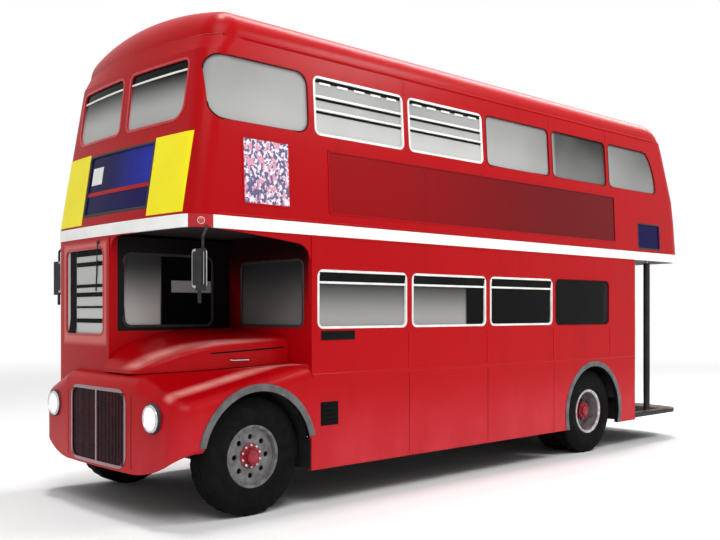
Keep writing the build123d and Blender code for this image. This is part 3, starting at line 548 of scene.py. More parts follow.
def finish_cad():
    finishes = dict.fromkeys(NODES, "lined")
    for key, nodes in CAD_FINISHES.items():
        finishes.update(dict.fromkeys(nodes.split(), key))
    for node, key in finishes.items():
        materials = NODES[node].data.materials
        materials.clear()
        materials.append(MATERIALS[key])


def add_object(name, data):
    made = bpy.data.objects.new(name, data)
    bpy.context.scene.collection.objects.link(made)
    return made


def make_camera():
    data = bpy.data.cameras.new("camera")
    data.lens = CAMERA_LENS
    data.sensor_width = 36
    data.shift_x, data.shift_y = CAMERA_SHIFT
    data.clip_end = 300
    camera = add_object("camera", data)
    camera.location = CAMERA_AT
    camera.rotation_euler = (math.pi / 2, 0, math.radians(CAMERA_TURN))
    bpy.context.scene.camera = camera


def make_world():
    """An even white surround. It lights the bus at a plain level and looks white in itself."""
    world = bpy.data.worlds.new("surround")
    world.use_nodes = True
    bpy.context.scene.world = world
    tree = world.node_tree
    rays = tree.nodes.new("ShaderNodeLightPath").outputs
    seen = rays["Is Camera Ray"]
    for name in ("Is Glossy Ray", "Is Transmission Ray"):
        larger = tree.nodes.new("ShaderNodeMath")
        larger.operation = "MAXIMUM"
        tree.links.new(seen, larger.inputs[0])
        tree.links.new(rays[name], larger.inputs[1])
        seen = larger.outputs[0]
    strength = tree.nodes.new("ShaderNodeMapRange")
    strength.inputs["To Min"].default_value = 0.32
    strength.inputs["To Max"].default_value = 1.0
    tree.links.new(seen, strength.inputs["Value"])
    background = tree.nodes["Background"]
    background.inputs["Color"].default_value = (1, 1, 1, 1)
    tree.links.new(strength.outputs[0], background.inputs["Strength"])


def make_lights():
    """A sun, a wide lamp before the nearside, a long strip overhead and a lamp on the bonnet."""
    sun = bpy.data.lights.new("sun", "SUN")
    sun.energy = 1.2
    sun.angle = math.radians(7)
    lamps = [(sun, (-0.5, 0.5, 8.0), (0, 0, 0))]
    for name, size, energy, at, target in (
        ("key", (8.0, 8.0), 950, (8.0, -8.0, 12.0), (0, 0, 1.8)),
        ("strip", (1.6, 18.0), 1300, (-0.6, 6.0, 9.5), None),
        ("rim", (2.4, 2.4), 300, (6.5, 3.5, 8.0), (0.9, -3.2, 1.3)),
    ):
        data = bpy.data.lights.new(name, "AREA")
        data.shape = "RECTANGLE"
        data.size, data.size_y = size
        data.energy = energy
        lamps.append((data, at, target))
    for data, at, target in lamps:
        lamp = add_object(data.name, data)
        lamp.location = at
        if target:
            way = Vector(target) - Vector(at)
            lamp.rotation_euler = way.to_track_quat("-Z", "Y").to_euler()


def make_floor():
    """A wide pale floor that turns into the white surround far from the bus."""
    mesh = bpy.data.meshes.new("floor")
    reach = 140.0
    corners = [(-reach, -reach, 0), (reach, -reach, 0), (reach, reach, 0), (-reach, reach, 0)]
    mesh.from_pydata(corners, [], [(0, 1, 2, 3)])
    floor = add_object("floor", mesh)
    f = Finish("pale_floor", (0.84, 0.84, 0.84, 1), 0.9, Specular_IOR_Level=0.0)
    f.color(f.mix(f.noise(0.6, 3.0).step(0.2, 0.8), (0.83, 0.83, 0.83, 1), (0.86, 0.86, 0.86, 1)))
    x, y, _ = f.axes()
    fade = f.node("MixShader")
    ends = (f.far(x, y).step(6.0, 26.0), f.shader.outputs[0], f.node("Emission").outputs[0])
    for slot, value in enumerate(ends):
        f.put(value, fade.inputs[slot])
    f.put(fade.outputs[0], f.tree.nodes["Material Output"].inputs["Surface"])
    mesh.materials.append(f.material)


def skin_tree(names):
    """Faces of these CAD nodes, to find places on them by rays."""
    verts, faces = [], []
    for name in names.split():
        mesh = NODES[name].data
        start = len(verts)
        verts += [v.co.copy() for v in mesh.vertices]
        faces += [[start + i for i in p.vertices] for p in mesh.polygons]
    return BVHTree.FromPolygons(verts, faces)


SKIN = skin_tree(
    "upper_side_left upper_side_right upper_front_panel upper_rear_panel roof_centre roof_domes "
    "waistband lower_side_left lower_side_right lower_rear_panel cab_shell cab_door cab_door_glass "
    "radiator_cowl front_wings glazing window_frames destination_blinds emergency_window_frame "
    "emergency_window_glass bonnet bulkheads"
)


def cast(start, way):
    """The first place that a ray meets the skin, with the normal that faces the ray."""
    way = Vector(way).normalized()
    place, normal = SKIN.ray_cast(Vector(start), way)[:2]
    if place is None:
        raise ValueError(f"no skin from {tuple(start)} along {tuple(way)}")
    return place, -normal if normal.dot(way) > 0 else normal


def finder(axis, start, way):
    """A function that finds a place on the skin, seen along an axis, from the other two axes."""
    def find(u, v):
        at, ray = [u, v], [0, 0]
        at.insert(axis, start)
        ray.insert(axis, way)
        return cast(at, ray)

    return find


NEARSIDE, OFFSIDE = finder(0, 2.0, -1), finder(0, -2.0, 1)
FRONT, REAR = finder(1, -6.0, 1), finder(1, 6.0, -1)
SIDES = (NEARSIDE, OFFSIDE)


def run(start, end, steps):
    return [start + (end - start) * i / steps for i in range(steps + 1)]


def upright(u, low, high, steps):
    """Points up a line of the skin."""
    return [(u, v) for v in run(low, high, steps)]


def level(start, end, steps, v):
    """Points along a line of the skin."""
    return [(u, v) for u in run(start, end, steps)]


def rounded(u, v, radius, edge=4, corner=5):
    """Points round a rectangle with rounded corners."""
    points = []
    centres = ((u[1] - radius, v[1] - radius), (u[0] + radius, v[1] - radius))
    centres += ((u[0] + radius, v[0] + radius), (u[1] - radius, v[0] + radius))
    for k, (cu, cv) in enumerate(centres):
        for i in range(corner + 1):
            a = math.pi / 2 * (k + i / corner)
            points.append((cu + radius * math.cos(a), cv + radius * math.sin(a)))
        nu, nv = centres[(k + 1) % 4]
        a = math.pi / 2 * (k + 1)
        end = (nu + radius * math.cos(a), nv + radius * math.sin(a))
        last = points[-1]
        for i in range(1, edge):
            points.append(tuple(p + (q - p) * i / edge for p, q in zip(last, end)))
    return points


def half_round(width, height, steps=4):
    """Section of a moulding, as (across, out) points."""
    half = width / 2
    bow = [math.pi * i / steps for i in range(steps + 1)]
    bow = [(-half * math.cos(a), height * math.sin(a)) for a in bow]
    return [(-half, -0.002), *bow, (half, -0.002)]


def flat_bar(width, height):
    """Section of a flat strip with blunted edges, as (across, out) points."""
    rise = [(width / 2, -0.002), (width / 2, height * 0.8), (width * 0.425, height)]
    return [(-a, o) for a, o in rise] + rise[::-1]


def directions(places, closed=False):
    """The direction of a line at each of its places."""
    count = len(places)
    for i in range(count):
        after = places[(i + 1) % count if closed else min(i + 1, count - 1)]
        before = places[(i - 1) % count if closed else max(i - 1, 0)]
        yield (after - before).normalized()


class Shape:
    """Collects the faces of one piece, in the bus's own coordinates."""

    def __init__(self):
        self.verts = []
        self.faces = []

    def add(self, verts, faces):
        start = len(self.verts)
        self.verts += [tuple(v) for v in verts]
        self.faces += [tuple(start + i for i in f) for f in faces]
        return self

    def rings(self, rings, closed=False):
        """Skins a row of rings that all have as many points, and closes its ends."""
        n, count = len(rings[0]), len(rings)
        faces = []
        for i in range(count if closed else count - 1):
            j = (i + 1) % count
            for k in range(n):
                m = (k + 1) % n
                faces.append((i * n + k, i * n + m, j * n + m, j * n + k))
        if not closed:
            faces.append(tuple(range(n)))
            faces.append(tuple((count - 1) * n + k for k in reversed(range(n))))
        return self.add([p for ring in rings for p in ring], faces)

    def box(self, x, y, z):
        verts = [(a, b, c) for c in z for b in y for a in x]
        faces = [(0, 2, 3, 1), (4, 5, 7, 6), (0, 1, 5, 4), (2, 6, 7, 3), (0, 4, 6, 2), (1, 3, 7, 5)]
        return self.add(verts, faces)

    def bead(self, find, points, section, closed=True):
        """A moulding along places on the skin."""
        spots = [find(u, v) for u, v in points]
        rings = []
        for (place, normal), along in zip(spots, directions([p for p, _ in spots], closed)):
            side = along.cross(normal).normalized()
            out = side.cross(along).normalized()
            rings.append([place + side * a + out * o for a, o in section])
        return self.rings(rings, closed)

    def plate(self, find, u, v, out, nu=6, nv=4, under=0.003):
        """A plate that lies on the skin over a rectangle."""
        grid = [[find(a, b) for a in run(*u, nu)] for b in run(*v, nv)]
        rows, cols = nv + 1, nu + 1
        verts = [p + n * out for row in grid for p, n in row]
        faces = []
        for i in range(nv):
            for j in range(nu):
                a = i * cols + j
                faces.append((a, a + 1, a + cols + 1, a + cols))
        rim = [(0, j) for j in range(cols)] + [(i, nu) for i in range(1, rows)]
        rim += [(nv, j) for j in range(nu - 1, -1, -1)] + [(i, 0) for i in range(nv - 1, 0, -1)]
        start = len(verts)
        verts += [grid[i][j][0] - grid[i][j][1] * under for i, j in rim]
        for k, (i, j) in enumerate(rim):
            m = (k + 1) % len(rim)
            faces.append((i * cols + j, start + k, start + m, rim[m][0] * cols + rim[m][1]))
        return self.add(verts, faces)

    def tube(self, path, radius, sides=10):
        path = [Vector(p) for p in path]
        rings = []
        side = None
        for place, along in zip(path, directions(path)):
            if side is None:
                side = along.orthogonal().normalized()
            side = (side - along * side.dot(along)).normalized()
            other = along.cross(side)
            turn = [2 * math.pi * k / sides for k in range(sides)]
            rings.append([place + (side * math.cos(a) + other * math.sin(a)) * radius for a in turn])
        return self.rings(rings)

    def rail(self, foot, height, out, radius, sides=10):
        """An upright rail whose ends turn back to where it is fixed."""
        foot, out = Vector(foot), Vector(out)
        places = ((0, 0), (1, 0.02), (1, height - 0.02), (0, height))
        return self.tube([foot + out * a + Vector((0, 0, b)) for a, b in places], radius, sides)

    def lathe(self, points, centre, axis, sides=32, wobble=None):
        """Turns (along, radius) points about an axis through centre."""
        axis = Vector(axis).normalized()
        side = axis.orthogonal().normalized()
        other = axis.cross(side)
        centre = Vector(centre)
        verts, faces = [], []
        n = len(points)
        for k in range(sides):
            a = 2 * math.pi * k / sides
            way = side * math.cos(a) + other * math.sin(a)
            for i, (t, r) in enumerate(points):
                r = r + (wobble(k, i) if wobble else 0)
                verts.append(centre + axis * t + way * r)
            m = (k + 1) % sides
            for i in range(n - 1):
                faces.append((k * n + i, m * n + i, m * n + i + 1, k * n + i + 1))
        return self.add(verts, faces)

    def make(self, name, key, body="bus_body", slot=None, bevel=0.0, sharp=35, replaces=()):
        """Makes the piece, which rides on a CAD body."""
        mesh = bpy.data.meshes.new(name)
        bm = bmesh.new()
        verts = [bm.verts.new(v) for v in self.verts]
        for face in self.faces:
            try:
                bm.faces.new([verts[i] for i in face])
            except ValueError:
                pass
        bmesh.ops.remove_doubles(bm, verts=bm.verts, dist=1e-5)
        bmesh.ops.recalc_face_normals(bm, faces=bm.faces)
        bm.to_mesh(mesh)
        bm.free()
        mesh.materials.append(MATERIALS[key])
        mesh.polygons.foreach_set("use_smooth", [True] * len(mesh.polygons))
        mesh.set_sharp_from_angle(angle=math.radians(sharp))
        piece = add_object(name, mesh)
        if bevel:
            modifier = piece.modifiers.new("bevel", "BEVEL")
            modifier.width = bevel
            modifier.segments = 2
            modifier.limit_method = "ANGLE"
        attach(piece, body)
        if replaces:
            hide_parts(*replaces)
        return piece


def tail_loop():
    """Outline of the last upper side window, whose rear top corner is a large arc."""
    middle, radius = (2.735, 3.37), 0.635
    loop = []
    for y, z in rounded((2.215, 3.370), UPPER_GLASS_Z, 0.065, edge=8):
        reach = math.hypot(y - middle[0], z - middle[1])
        if y > middle[0] and reach > radius:
            y = middle[0] + (y - middle[0]) * radius / reach
            z = middle[1] + (z - middle[1]) * radius / reach
        loop.append((y, z))
    return loop


def window_beads():
    """Thin rubber round the fixed windows, and round the panes in the cab and the bulkhead."""
    rubber, edging = Shape(), Shape()
    thin, thick = half_round(0.014, 0.003), half_round(0.026, 0.006)
    loops = [rounded(FIRST_WINDOW_Y, UPPER_GLASS_Z, 0.12, edge=8), tail_loop()]
    loops += [rounded(BAYS[i], UPPER_GLASS_Z, 0.065) for i in (2, 3)]
    loops += [rounded(BAYS[3], LOWER_GLASS_Z, 0.065)]
    for find in SIDES:
        for loop in loops:
            edging.bead(find, loop, thin)
    edging.make("window_edging", "seam", slot="red_paint")
    rubber.bead(REAR, rounded((-0.76, -0.12), (1.5, 2.11), 0.06), thin)
    rubber.bead(finder(1, -3.2, 1), rounded((0.165, 1.095), (1.6, 2.2), 0.06), thick)
    rubber.bead(finder(0, 0.4, -1), rounded((-3.9, -2.95), (1.6, 2.26), 0.07), thick)
    rubber.make("window_rubbers", "rubber")
    door = Shape().bead(OFFSIDE, rounded((-3.57, -3.05), (1.5, 2.25), 0.06), thin)
    door.make("cab_door_rubber", "rubber", "driver_door")
    hatch = Shape().bead(REAR, rounded((-0.48, 0.48), (3.34, 3.78), 0.05), half_round(0.024, 0.005))
    hatch.make("rear_window_rubber", "rubber", "emergency_exit")


def window_bars():
    """Hopper rails and dark gaps of the windows that open, with a strip of painted shadow under each upper
    rail, and a rail inside the front panes.
    """
    white, dark = Shape(), Shape()
    openings = [(low + 0.024, high - 0.024) for low, high in BAYS[:3]]
    for find in SIDES:
        for y in openings[:2]:
            for low in (3.535, 3.655):
                white.plate(find, y, (low, low + 0.02), 0.02, 4, 1)
                # Just under the rail, a dark strip of painted shadow
                dark.plate(find, y, (low - 0.022, low - 0.002), 0.006, 4, 1)
            dark.plate(find, y, (3.795, 3.826), 0.004, 4, 1)
            for k in range(5):
                start = y[0] + 0.06 + k * 0.215
                white.plate(find, (start, start + 0.13), (3.778, 3.797), 0.012, 2, 1)
        for y in openings:
            white.plate(find, y, (1.985, 2.005), 0.02, 4, 1)
            dark.plate(find, y, (2.008, 2.086), 0.004, 4, 1)
    for x in ((-0.91, -0.07), (0.07, 0.91)):
        white.plate(FRONT, x, (3.735, 3.752), 0.006, 8, 1)
    white.make("window_rails", "white", bevel=0.002)
    dark.make("window_gaps_and_painted_shadows", "gap")


def mouldings():
    """Gutters, the beads on both edges of the band, panel joints and the advert frames."""
    red, seams = Shape(), Shape()
    band_bead = half_round(0.02, 0.006)
    for find in SIDES:
        red.bead(find, level(-3.62, 3.38, 35, SPRING_Z - 0.004), half_round(0.03, 0.013), False)
        for z in ADVERT_Z:
            red.bead(find, level(*ADVERT_Y, 14, z), flat_bar(0.022, 0.007), False)
        for y in ADVERT_Y:
            red.bead(find, upright(y, *ADVERT_Z, 8), flat_bar(0.022, 0.007), False)
        for y in PILLARS_Y[1:]:
            red.bead(find, upright(y, 1.18, 1.54, 6), flat_bar(0.03, 0.003), False)
            red.bead(find, upright(y, 3.85, 4.0, 5), flat_bar(0.03, 0.003), False)
        end = 2.76 if find is NEARSIDE else 3.68
        red.bead(find, level(-2.74, end, 24, 1.165), half_round(0.034, 0.006), False)
        red.bead(find, level(-3.75, 3.7, 20, BAND_HIGH + 0.012), band_bead, False)
        ends = (-2.7, 2.76) if find is NEARSIDE else (-3.75, 3.7)
        red.bead(find, level(*ends, 20, BAND_LOW - 0.012), band_bead, False)
    red.bead(FRONT, level(-1.0, 1.0, 20, BAND_HIGH + 0.012), band_bead, False)
    red.make("mouldings", "red")

    for x in (-0.575, 0.575):
        seams.bead(FRONT, upright(x, 0.42, 1.12, 7), flat_bar(0.007, 0.0012), False)
    for find in SIDES:
        for y in PILLARS_Y[1:]:
            if abs(y - REAR_AXLE_Y) > 0.62:
                seams.bead(find, upright(y, 0.35, 1.145, 6), flat_bar(0.005, 0.001), False)
    seams.make("panel_seams", "seam")


def front_signs():
    """Yellow panels beside the sign box, the signs' surrounds and their plain faces."""
    yellow, surround = Shape(), Shape()
    for x in ((-1.085, -0.585), (0.585, 1.085)):
        yellow.plate(FRONT, x, (2.535, 3.2), 0.004, 24, 8)
    yellow.make("yellow_panels", "yellow")
    surround.bead(FRONT, rounded((-0.567, 0.567), (2.613, 3.172), 0.026), half_round(0.024, 0.006))
    surround.bead(NEARSIDE, rounded((2.873, 3.437), (2.563, 2.887), 0.026), half_round(0.02, 0.005))
    surround.make("sign_surrounds", "rubber")
    Shape().plate(FRONT, (-0.555, 0.555), (2.795, 2.83), 0.004, 6, 1, 0.0).make("sign_divider", "red")
    square = Shape().plate(FRONT, (-0.5, -0.3), (2.9, 3.06), 0.003, 2, 2, 0.0)
    square.make("plain_number_square", "white")


def posters():
    """A plain patterned poster in a thin frame, on each side behind the front corner."""
    poster, border = Shape(), Shape()
    for find in SIDES:
        poster.plate(find, (-3.477, -3.0), (2.64, 3.18), 0.002)
        loop = rounded((-3.485, -2.992), (2.632, 3.188), 0.012, corner=2)
        border.bead(find, loop, flat_bar(0.016, 0.005))
    poster.make("posters", "poster")
    border.make("poster_frames", "red")


def corner_lamps():
    """A small round marker lamp on each front corner of the band."""
    lamp, rim = Shape(), Shape()
    for half in (1, -1):
        way = Vector((-half * 0.72, 0.69, 0)).normalized()
        at = Vector((half * LAMP_CORNER[0], LAMP_CORNER[1], 2.462))
        place, normal = cast(at - way * 1.5, way)
        lamp.lathe([(0.0, 0.024), (0.008, 0.023), (0.014, 0.014), (0.016, 0.0)], place, normal, 20)
        rim.lathe([(-0.002, 0.032), (0.006, 0.031), (0.007, 0.025), (0.0, 0.024)], place, normal, 20)
    lamp.make("marker_lamps", "amber")
    rim.make("marker_lamp_rims", "chrome")


def headlamp_fronts():
    """Bezels, ribbed lenses and rubber gaskets."""
    bow = [math.pi / 2 * i / 6 for i in range(7)]
    for name, key, points in (
        ("headlamp_bezels", "chrome",
         [(-0.03, 0.115), (-0.004, 0.117), (0.008, 0.108), (0.008, 0.096), (-0.004, 0.092)]),
        ("headlamp_lenses", "lens", [(0.013 * math.cos(a), 0.096 * math.sin(a)) for a in bow]),
        ("headlamp_gaskets", "rubber",
         [(-0.03, 0.126), (-0.008, 0.126), (-0.002, 0.122), (-0.002, 0.114)]),
    ):
        shape = Shape()
        for x in (-0.88, 0.88):
            shape.lathe(points, (x, HEADLAMP_Y, 0.87), (0, -1, 0), 40)
        shape.make(name, key)


def grille_back():
    """The dark radiator block behind the slats."""
    Shape().box((-0.49, 0.49), (-4.1, -4.06), (0.42, 1.06)).make("radiator_block", "gap")


def lower_side_fittings():
    """Louvred vent and step slot on the nearside, and the offside's flaps with their catches."""
    black, catch = Shape(), Shape()
    black.plate(NEARSIDE, (-2.645, -2.437), (0.715, 0.925), 0.004, 2, 2)
    black.plate(NEARSIDE, (-2.64, -2.23), (1.478, 1.56), 0.005, 3, 1)
    for k in range(5):
        z = 0.74 + 0.038 * k
        black.plate(NEARSIDE, (-2.63, -2.452), (z, z + 0.02), 0.012, 2, 1)
    for y in ((-1.1, -0.45), (0.2, 0.75)):
        black.bead(OFFSIDE, rounded(y, (0.5, 0.9), 0.03), flat_bar(0.006, 0.001))
    black.make("side_vents", "gap", bevel=0.002)
    for y in (-0.9, 0.45):
        catch.plate(OFFSIDE, (y, y + 0.09), (0.86, 0.88), 0.008, 2, 1)
    catch.make("flap_catches", "steel", bevel=0.002)


def platform_fittings():
    """Sleeves of the platform's poles, rails, and the platform's ribbed floor and nosing."""
    sleeve, rails, ribs = Shape(), Shape(), Shape()
    for x, y, radius, sides in ((1.14, 3.22, 0.042, 16), (1.12, 2.86, 0.022, 12)):
        sleeve.tube([(x, y, 0.42), (x, y, 2.38)], radius, sides)
    sleeve.make("platform_pole_sleeves", "black")
    rails.rail((0.52, 2.8, 0.9), 1.12, (0, 0.04, 0), 0.014)
    rails.rail((1.17, 2.82, 1.1), 0.82, (0, 0.04, 0), 0.014)
    rails.rail((0.07, 4.1, 0.85), 1.07, (0, -0.04, 0), 0.014)
    rails.make("platform_rails", "white")
    for k in range(20):
        x = 0.2 + 0.045 * k
        ribs.box((x, x + 0.02), (2.84, 3.72), (PLATFORM_Z, PLATFORM_Z + 0.004))
    ribs.make("platform_ribs", "gap", slot="floor")
    edge = Shape().box((1.16, 1.205), (2.82, 3.7), (PLATFORM_Z, PLATFORM_Z + 0.006))
    edge.make("platform_nosing", "black")


# Half of a tyre's section from the bead to the tread's middle groove, as (across, radius)
TYRE = (
    (0.104, 0.262), (0.117, 0.288), (0.1235, 0.33), (0.1245, 0.335), (0.1250, 0.375), (0.1240, 0.38),
    (0.1225, 0.41), (0.1180, 0.44), (0.1165, 0.443), (0.1080, 0.468), (0.0990, 0.488), (0.0860, 0.5025),
    (0.0840, 0.505), (0.0600, 0.505), (0.0590, 0.494), (0.0510, 0.494), (0.0500, 0.505), (0.0250, 0.505),
    (0.0240, 0.494), (0.0160, 0.494), (0.0150, 0.505),
)
TYRE_LUGS = (9, 10, 11, 12)
LUG_DEPTH = 0.007

# Wheel fittings as (along, radius) points from their own places on the axle line
DRUM = ((-0.02, 0.0), (-0.02, 0.215), (-0.03, 0.225), (-0.09, 0.225), (-0.09, 0.12))
HUB_CAP = ((-0.002, 0.05), (0.004, 0.048), (0.01, 0.03), (0.011, 0.0))
HUB_CAP_X = 1.128
RIM_OUT = 0.099
NUTS = 10
WHEELS = {
    "front": {
        "plural": "",
        "axle_y": FRONT_AXLE_Y,
        "tyres_x": (FRONT_WHEEL_X,),
        "face_x": 1.080,
        "nut_circle": 0.092,
        "nut_turn": 0.5,
        "nut": ((-0.002, 0.013), (0.02, 0.013), (0.024, 0.009), (0.024, 0.0)),
        "hub": ((0.0, 0.108), (0.006, 0.108), (0.008, 0.07), (0.03, 0.062)),
        "ring": ((0.0, 0.24), (0.008, 0.243), (0.014, 0.254), (0.013, 0.266), (0.0, 0.27)),
        "keys": ("steel", "wheel_grey"),
    },
    "rear": {
        "plural": "s",
        "axle_y": REAR_AXLE_Y,
        "tyres_x": REAR_WHEELS_X,
        "face_x": 1.074,
        "nut_circle": 0.084,
        "nut_turn": 0.0,
        "nut": ((-0.002, 0.011), (0.01, 0.011), (0.013, 0.008), (0.013, 0.0)),
        "hub": ((-0.002, 0.06), (0.02, 0.058), (0.032, 0.04), (0.034, 0.0)),
        "ring": ((0.0, 0.236), (0.01, 0.241), (0.017, 0.253), (0.016, 0.266), (0.0, 0.27)),
        "keys": ("hub", "pale"),
    },
}


def tyre_wobble(k, i):
    """Notches across the tyre's shoulders."""
    row = min(i, 2 * len(TYRE) - 1 - i)
    return -LUG_DEPTH if row in TYRE_LUGS and k % 3 == 0 else 0.0


def make_wheel(end, side, way, wheel):
    """One wheel's tyres with tread, nuts, hub and rim ring, and the drum of a front one."""
    plural, y = wheel["plural"], wheel["axle_y"]
    body = f"{end}_{side}_wheel{plural}"
    out = (way, 0, 0)
    face, circle = way * wheel["face_x"], wheel["nut_circle"]
    tyres, nuts, hub = Shape(), Shape(), Shape()
    section = [*TYRE, *((-t, r) for t, r in reversed(TYRE))]
    for x in wheel["tyres_x"]:
        tyres.lathe(section, (way * x, y, AXLE_Z), (1, 0, 0), 96, tyre_wobble)
    replaced = f"{end}_tyre{plural}_{side}"
    tyres.make(f"{end}_tyre_tread{plural}_{side}", "tyre", body, replaces=[replaced])
    for k in range(NUTS):
        a = 2 * math.pi * (k + wheel["nut_turn"]) / NUTS
        at = (face, y + circle * math.cos(a), AXLE_Z + circle * math.sin(a))
        nuts.lathe(wheel["nut"], at, out, 6)
    hub.lathe(wheel["hub"], (face, y, AXLE_Z), out)
    if end == "front":
        hub.lathe(HUB_CAP, (way * HUB_CAP_X, y, AXLE_Z), out)
        drum = Shape().lathe(DRUM, (way * FRONT_WHEEL_X, y, AXLE_Z), out)
        drum.make(f"front_drum_{side}", "iron", body)
    ring = Shape().lathe(wheel["ring"], (way * (wheel["tyres_x"][0] + RIM_OUT), y, AXLE_Z), out, 48)
    nut_key, ring_key = wheel["keys"]
    nuts.make(f"{end}_nuts_{side}", nut_key, body)
    hub.make(f"{end}_hub_{side}", "hub", body)
    ring.make(f"{end}_rim_ring_{side}", ring_key, body)


def wheels():
    for side, way in (("left", 1), ("right", -1)):
        for end, wheel in WHEELS.items():
            make_wheel(end, side, way, wheel)


def arch_liners():
    """Black shells over the front wheels, splash plates in all arches, and the offside's filler."""
    liner = Shape()
    for way in (1, -1):
        rings = []
        for k in range(17):
            a = math.radians(8 + 164 * k / 16)
            corners = ((0.575, 0.572), (1.16, 0.572), (1.16, 0.58), (0.575, 0.58))
            place = [(x, r * math.cos(a), r * math.sin(a)) for x, r in corners]
            rings.append([(way * x, FRONT_AXLE_Y + y, AXLE_Z + z) for x, y, z in place])
        liner.rings(rings)
        for x, y, z in (
            ((0.568, 0.576), (FRONT_AXLE_Y - 0.55, FRONT_AXLE_Y + 0.5), (0.66, 0.98)),
            ((0.6, 1.205), (BULKHEAD_Y - 0.008, BULKHEAD_Y), (0.34, 0.62)),
            ((0.66, 1.15), (REAR_AXLE_Y + 0.63, REAR_AXLE_Y + 0.638), (0.35, 0.56)),
            ((0.588, 0.598), (REAR_AXLE_Y - 0.72, REAR_AXLE_Y - 0.25), (0.34, 0.72)),
            ((0.588, 0.598), (REAR_AXLE_Y + 0.25, REAR_AXLE_Y + 0.72), (0.34, 0.72)),
        ):
            liner.box(sorted((way * x[0], way * x[1])), y, z)
    liner.make("wheel_arch_liners", "black")

    rings = []
    x = -HALF_WIDTH + 0.003
    for z in run(0.55, CAB_LOW_Z, 16):
        y = FRONT_AXLE_Y + math.sqrt(max(0.0, 0.60 ** 2 - (z - AXLE_Z) ** 2))
        rings.append([(x, y, z), (x, BULKHEAD_Y, z), (x + 0.012, BULKHEAD_Y, z), (x + 0.012, y, z)])
    Shape().rings(rings).make("offside_wing_filler", "red")


def corner_drop(past, radius):
    """How far the valance's lower edge has come down inside a corner's radius."""
    return radius * (1 - math.sqrt(1 - min(1.0, max(0.0, past / radius)) ** 2))


def canopy_valance():
    """The red plate that hangs below the band round the canopy, arched at both ends."""
    top, thick, front_y = BAND_LOW + 0.012, 0.012, -3.70
    shape, rings = Shape(), []
    for y in run(front_y, BULKHEAD_Y, 24):
        x = NEARSIDE(y, BAND_LOW + 0.03)[0].x - thick
        fall = 0.09 * ((y - front_y) / (BULKHEAD_Y - front_y)) ** 1.3
        low = top - 0.02 - fall - corner_drop(y - BULKHEAD_Y + 0.14, 0.14)
        rings.append([(x, y, top), (x, y, low), (x - thick, y, low), (x - thick, y, top)])
    shape.rings(rings)
    rings = []
    for x in run(CAB_SIDE_X, CAB_SIDE_X + 0.4, 16):
        y = FRONT(x, BAND_LOW + 0.03)[0].y + thick
        low = top - 0.02 - corner_drop(CAB_SIDE_X + 0.16 - x, 0.16)
        rings.append([(x, y, top), (x, y, low), (x, y + thick, low), (x, y + thick, top)])
    shape.rings(rings)
    shape.make("canopy_valance", "red")


def mirror_heads():
    """Mirrors with pale rims, dark backs and bright faces, round the CAD's heads."""
    rim, back, face = Shape(), Shape(), Shape()
    for way in (1, -1):
        u, v = sorted((way * 1.165, way * 1.333)), (1.92, 2.23)
        outer = rounded(u, v, 0.035)
        inner = rounded((u[0] + 0.02, u[1] - 0.02), (v[0] + 0.02, v[1] - 0.02), 0.02)
        for shape, layers in (
            (rim, ((inner, 0.0), (outer, 0.004), (outer, 0.036), (inner, 0.040))),
            (back, ((inner, -0.004), (inner, 0.002))),
            (face, ((inner, 0.038), (inner, 0.042))),
        ):
            shape.rings([[(a, MIRROR_Y + y, c) for a, c in loop] for loop, y in layers])
        back.tube([(way * 1.25, MIRROR_Y + 0.02, z) for z in (1.93, 1.80)], 0.014)
    rim.make("mirror_rims", "steel", slot="grey_steel")
    back.make("mirror_backs", "black")
    face.make("mirror_glasses", "chrome")


def wiper():
    """The wiper on the cab's windscreen, hung from above and parked at its inner edge."""
    shape = Shape()
    out = Vector((0, -0.014, 0))
    root, tip = FRONT(-0.22, 2.36)[0], FRONT(-0.27, 2.06)[0]
    shape.lathe([(0.0, 0.018), (0.014, 0.016), (0.018, 0.0)], root, (0, -1, 0), 16)
    shape.tube([root + out, tip + out], 0.0045, 8)
    blade = [FRONT(-0.27 - 0.006 * i, 2.2 - 0.07 * i)[0] + out * 0.5 for i in range(5)]
    shape.tube(blade, 0.006, 8)
    shape.make("wiper", "black")


def cab_details():
    """Dark bars across the windscreen, which are painted reflections, a dark upright strip near its outer
    edge, the dash, and the door's handle, hinges and rails.
    """
    bars, door, rail = Shape(), Shape(), Shape()
    # Painted reflections: dark plates laid on the windscreen's glass
    for z, high in ((2.245, 0.055), (2.15, 0.04), (1.955, 0.03), (1.87, 0.04), (1.765, 0.02), (1.63, 0.04)):
        bars.plate(FRONT, (-0.71, -0.15), (z, z + high), 0.003, 6, 1)
    bars.plate(FRONT, (-0.86, -0.72), (1.53, 2.30), 0.004, 2, 6)
    bars.make("windscreen_painted_reflections", "gap")
    Shape().box((-1.1, -0.1), (-3.93, -3.74), (1.2, 1.45)).make("dash", "black", bevel=0.03)
    side, out = -1.219, -1.2385
    for z in (1.4, 1.9, 2.2):
        door.tube([(side, -3.648, z), (side, -3.648, z + 0.09)], 0.009, 8)
    door.make("cab_door_hinges", "red", "driver_door")
    handle = Shape().tube([(side, -3.06, 1.36), (out, -3.06, 1.36), (out, -3.18, 1.36)], 0.008, 8)
    handle.make("cab_door_handle", "chrome", "driver_door")
    for y in (-3.72, -2.86):
        rail.rail((-1.21, y, 1.45), 0.62, (-0.0285, 0, 0), 0.009, 8)
    rail.make("cab_grab_rails", "chrome")


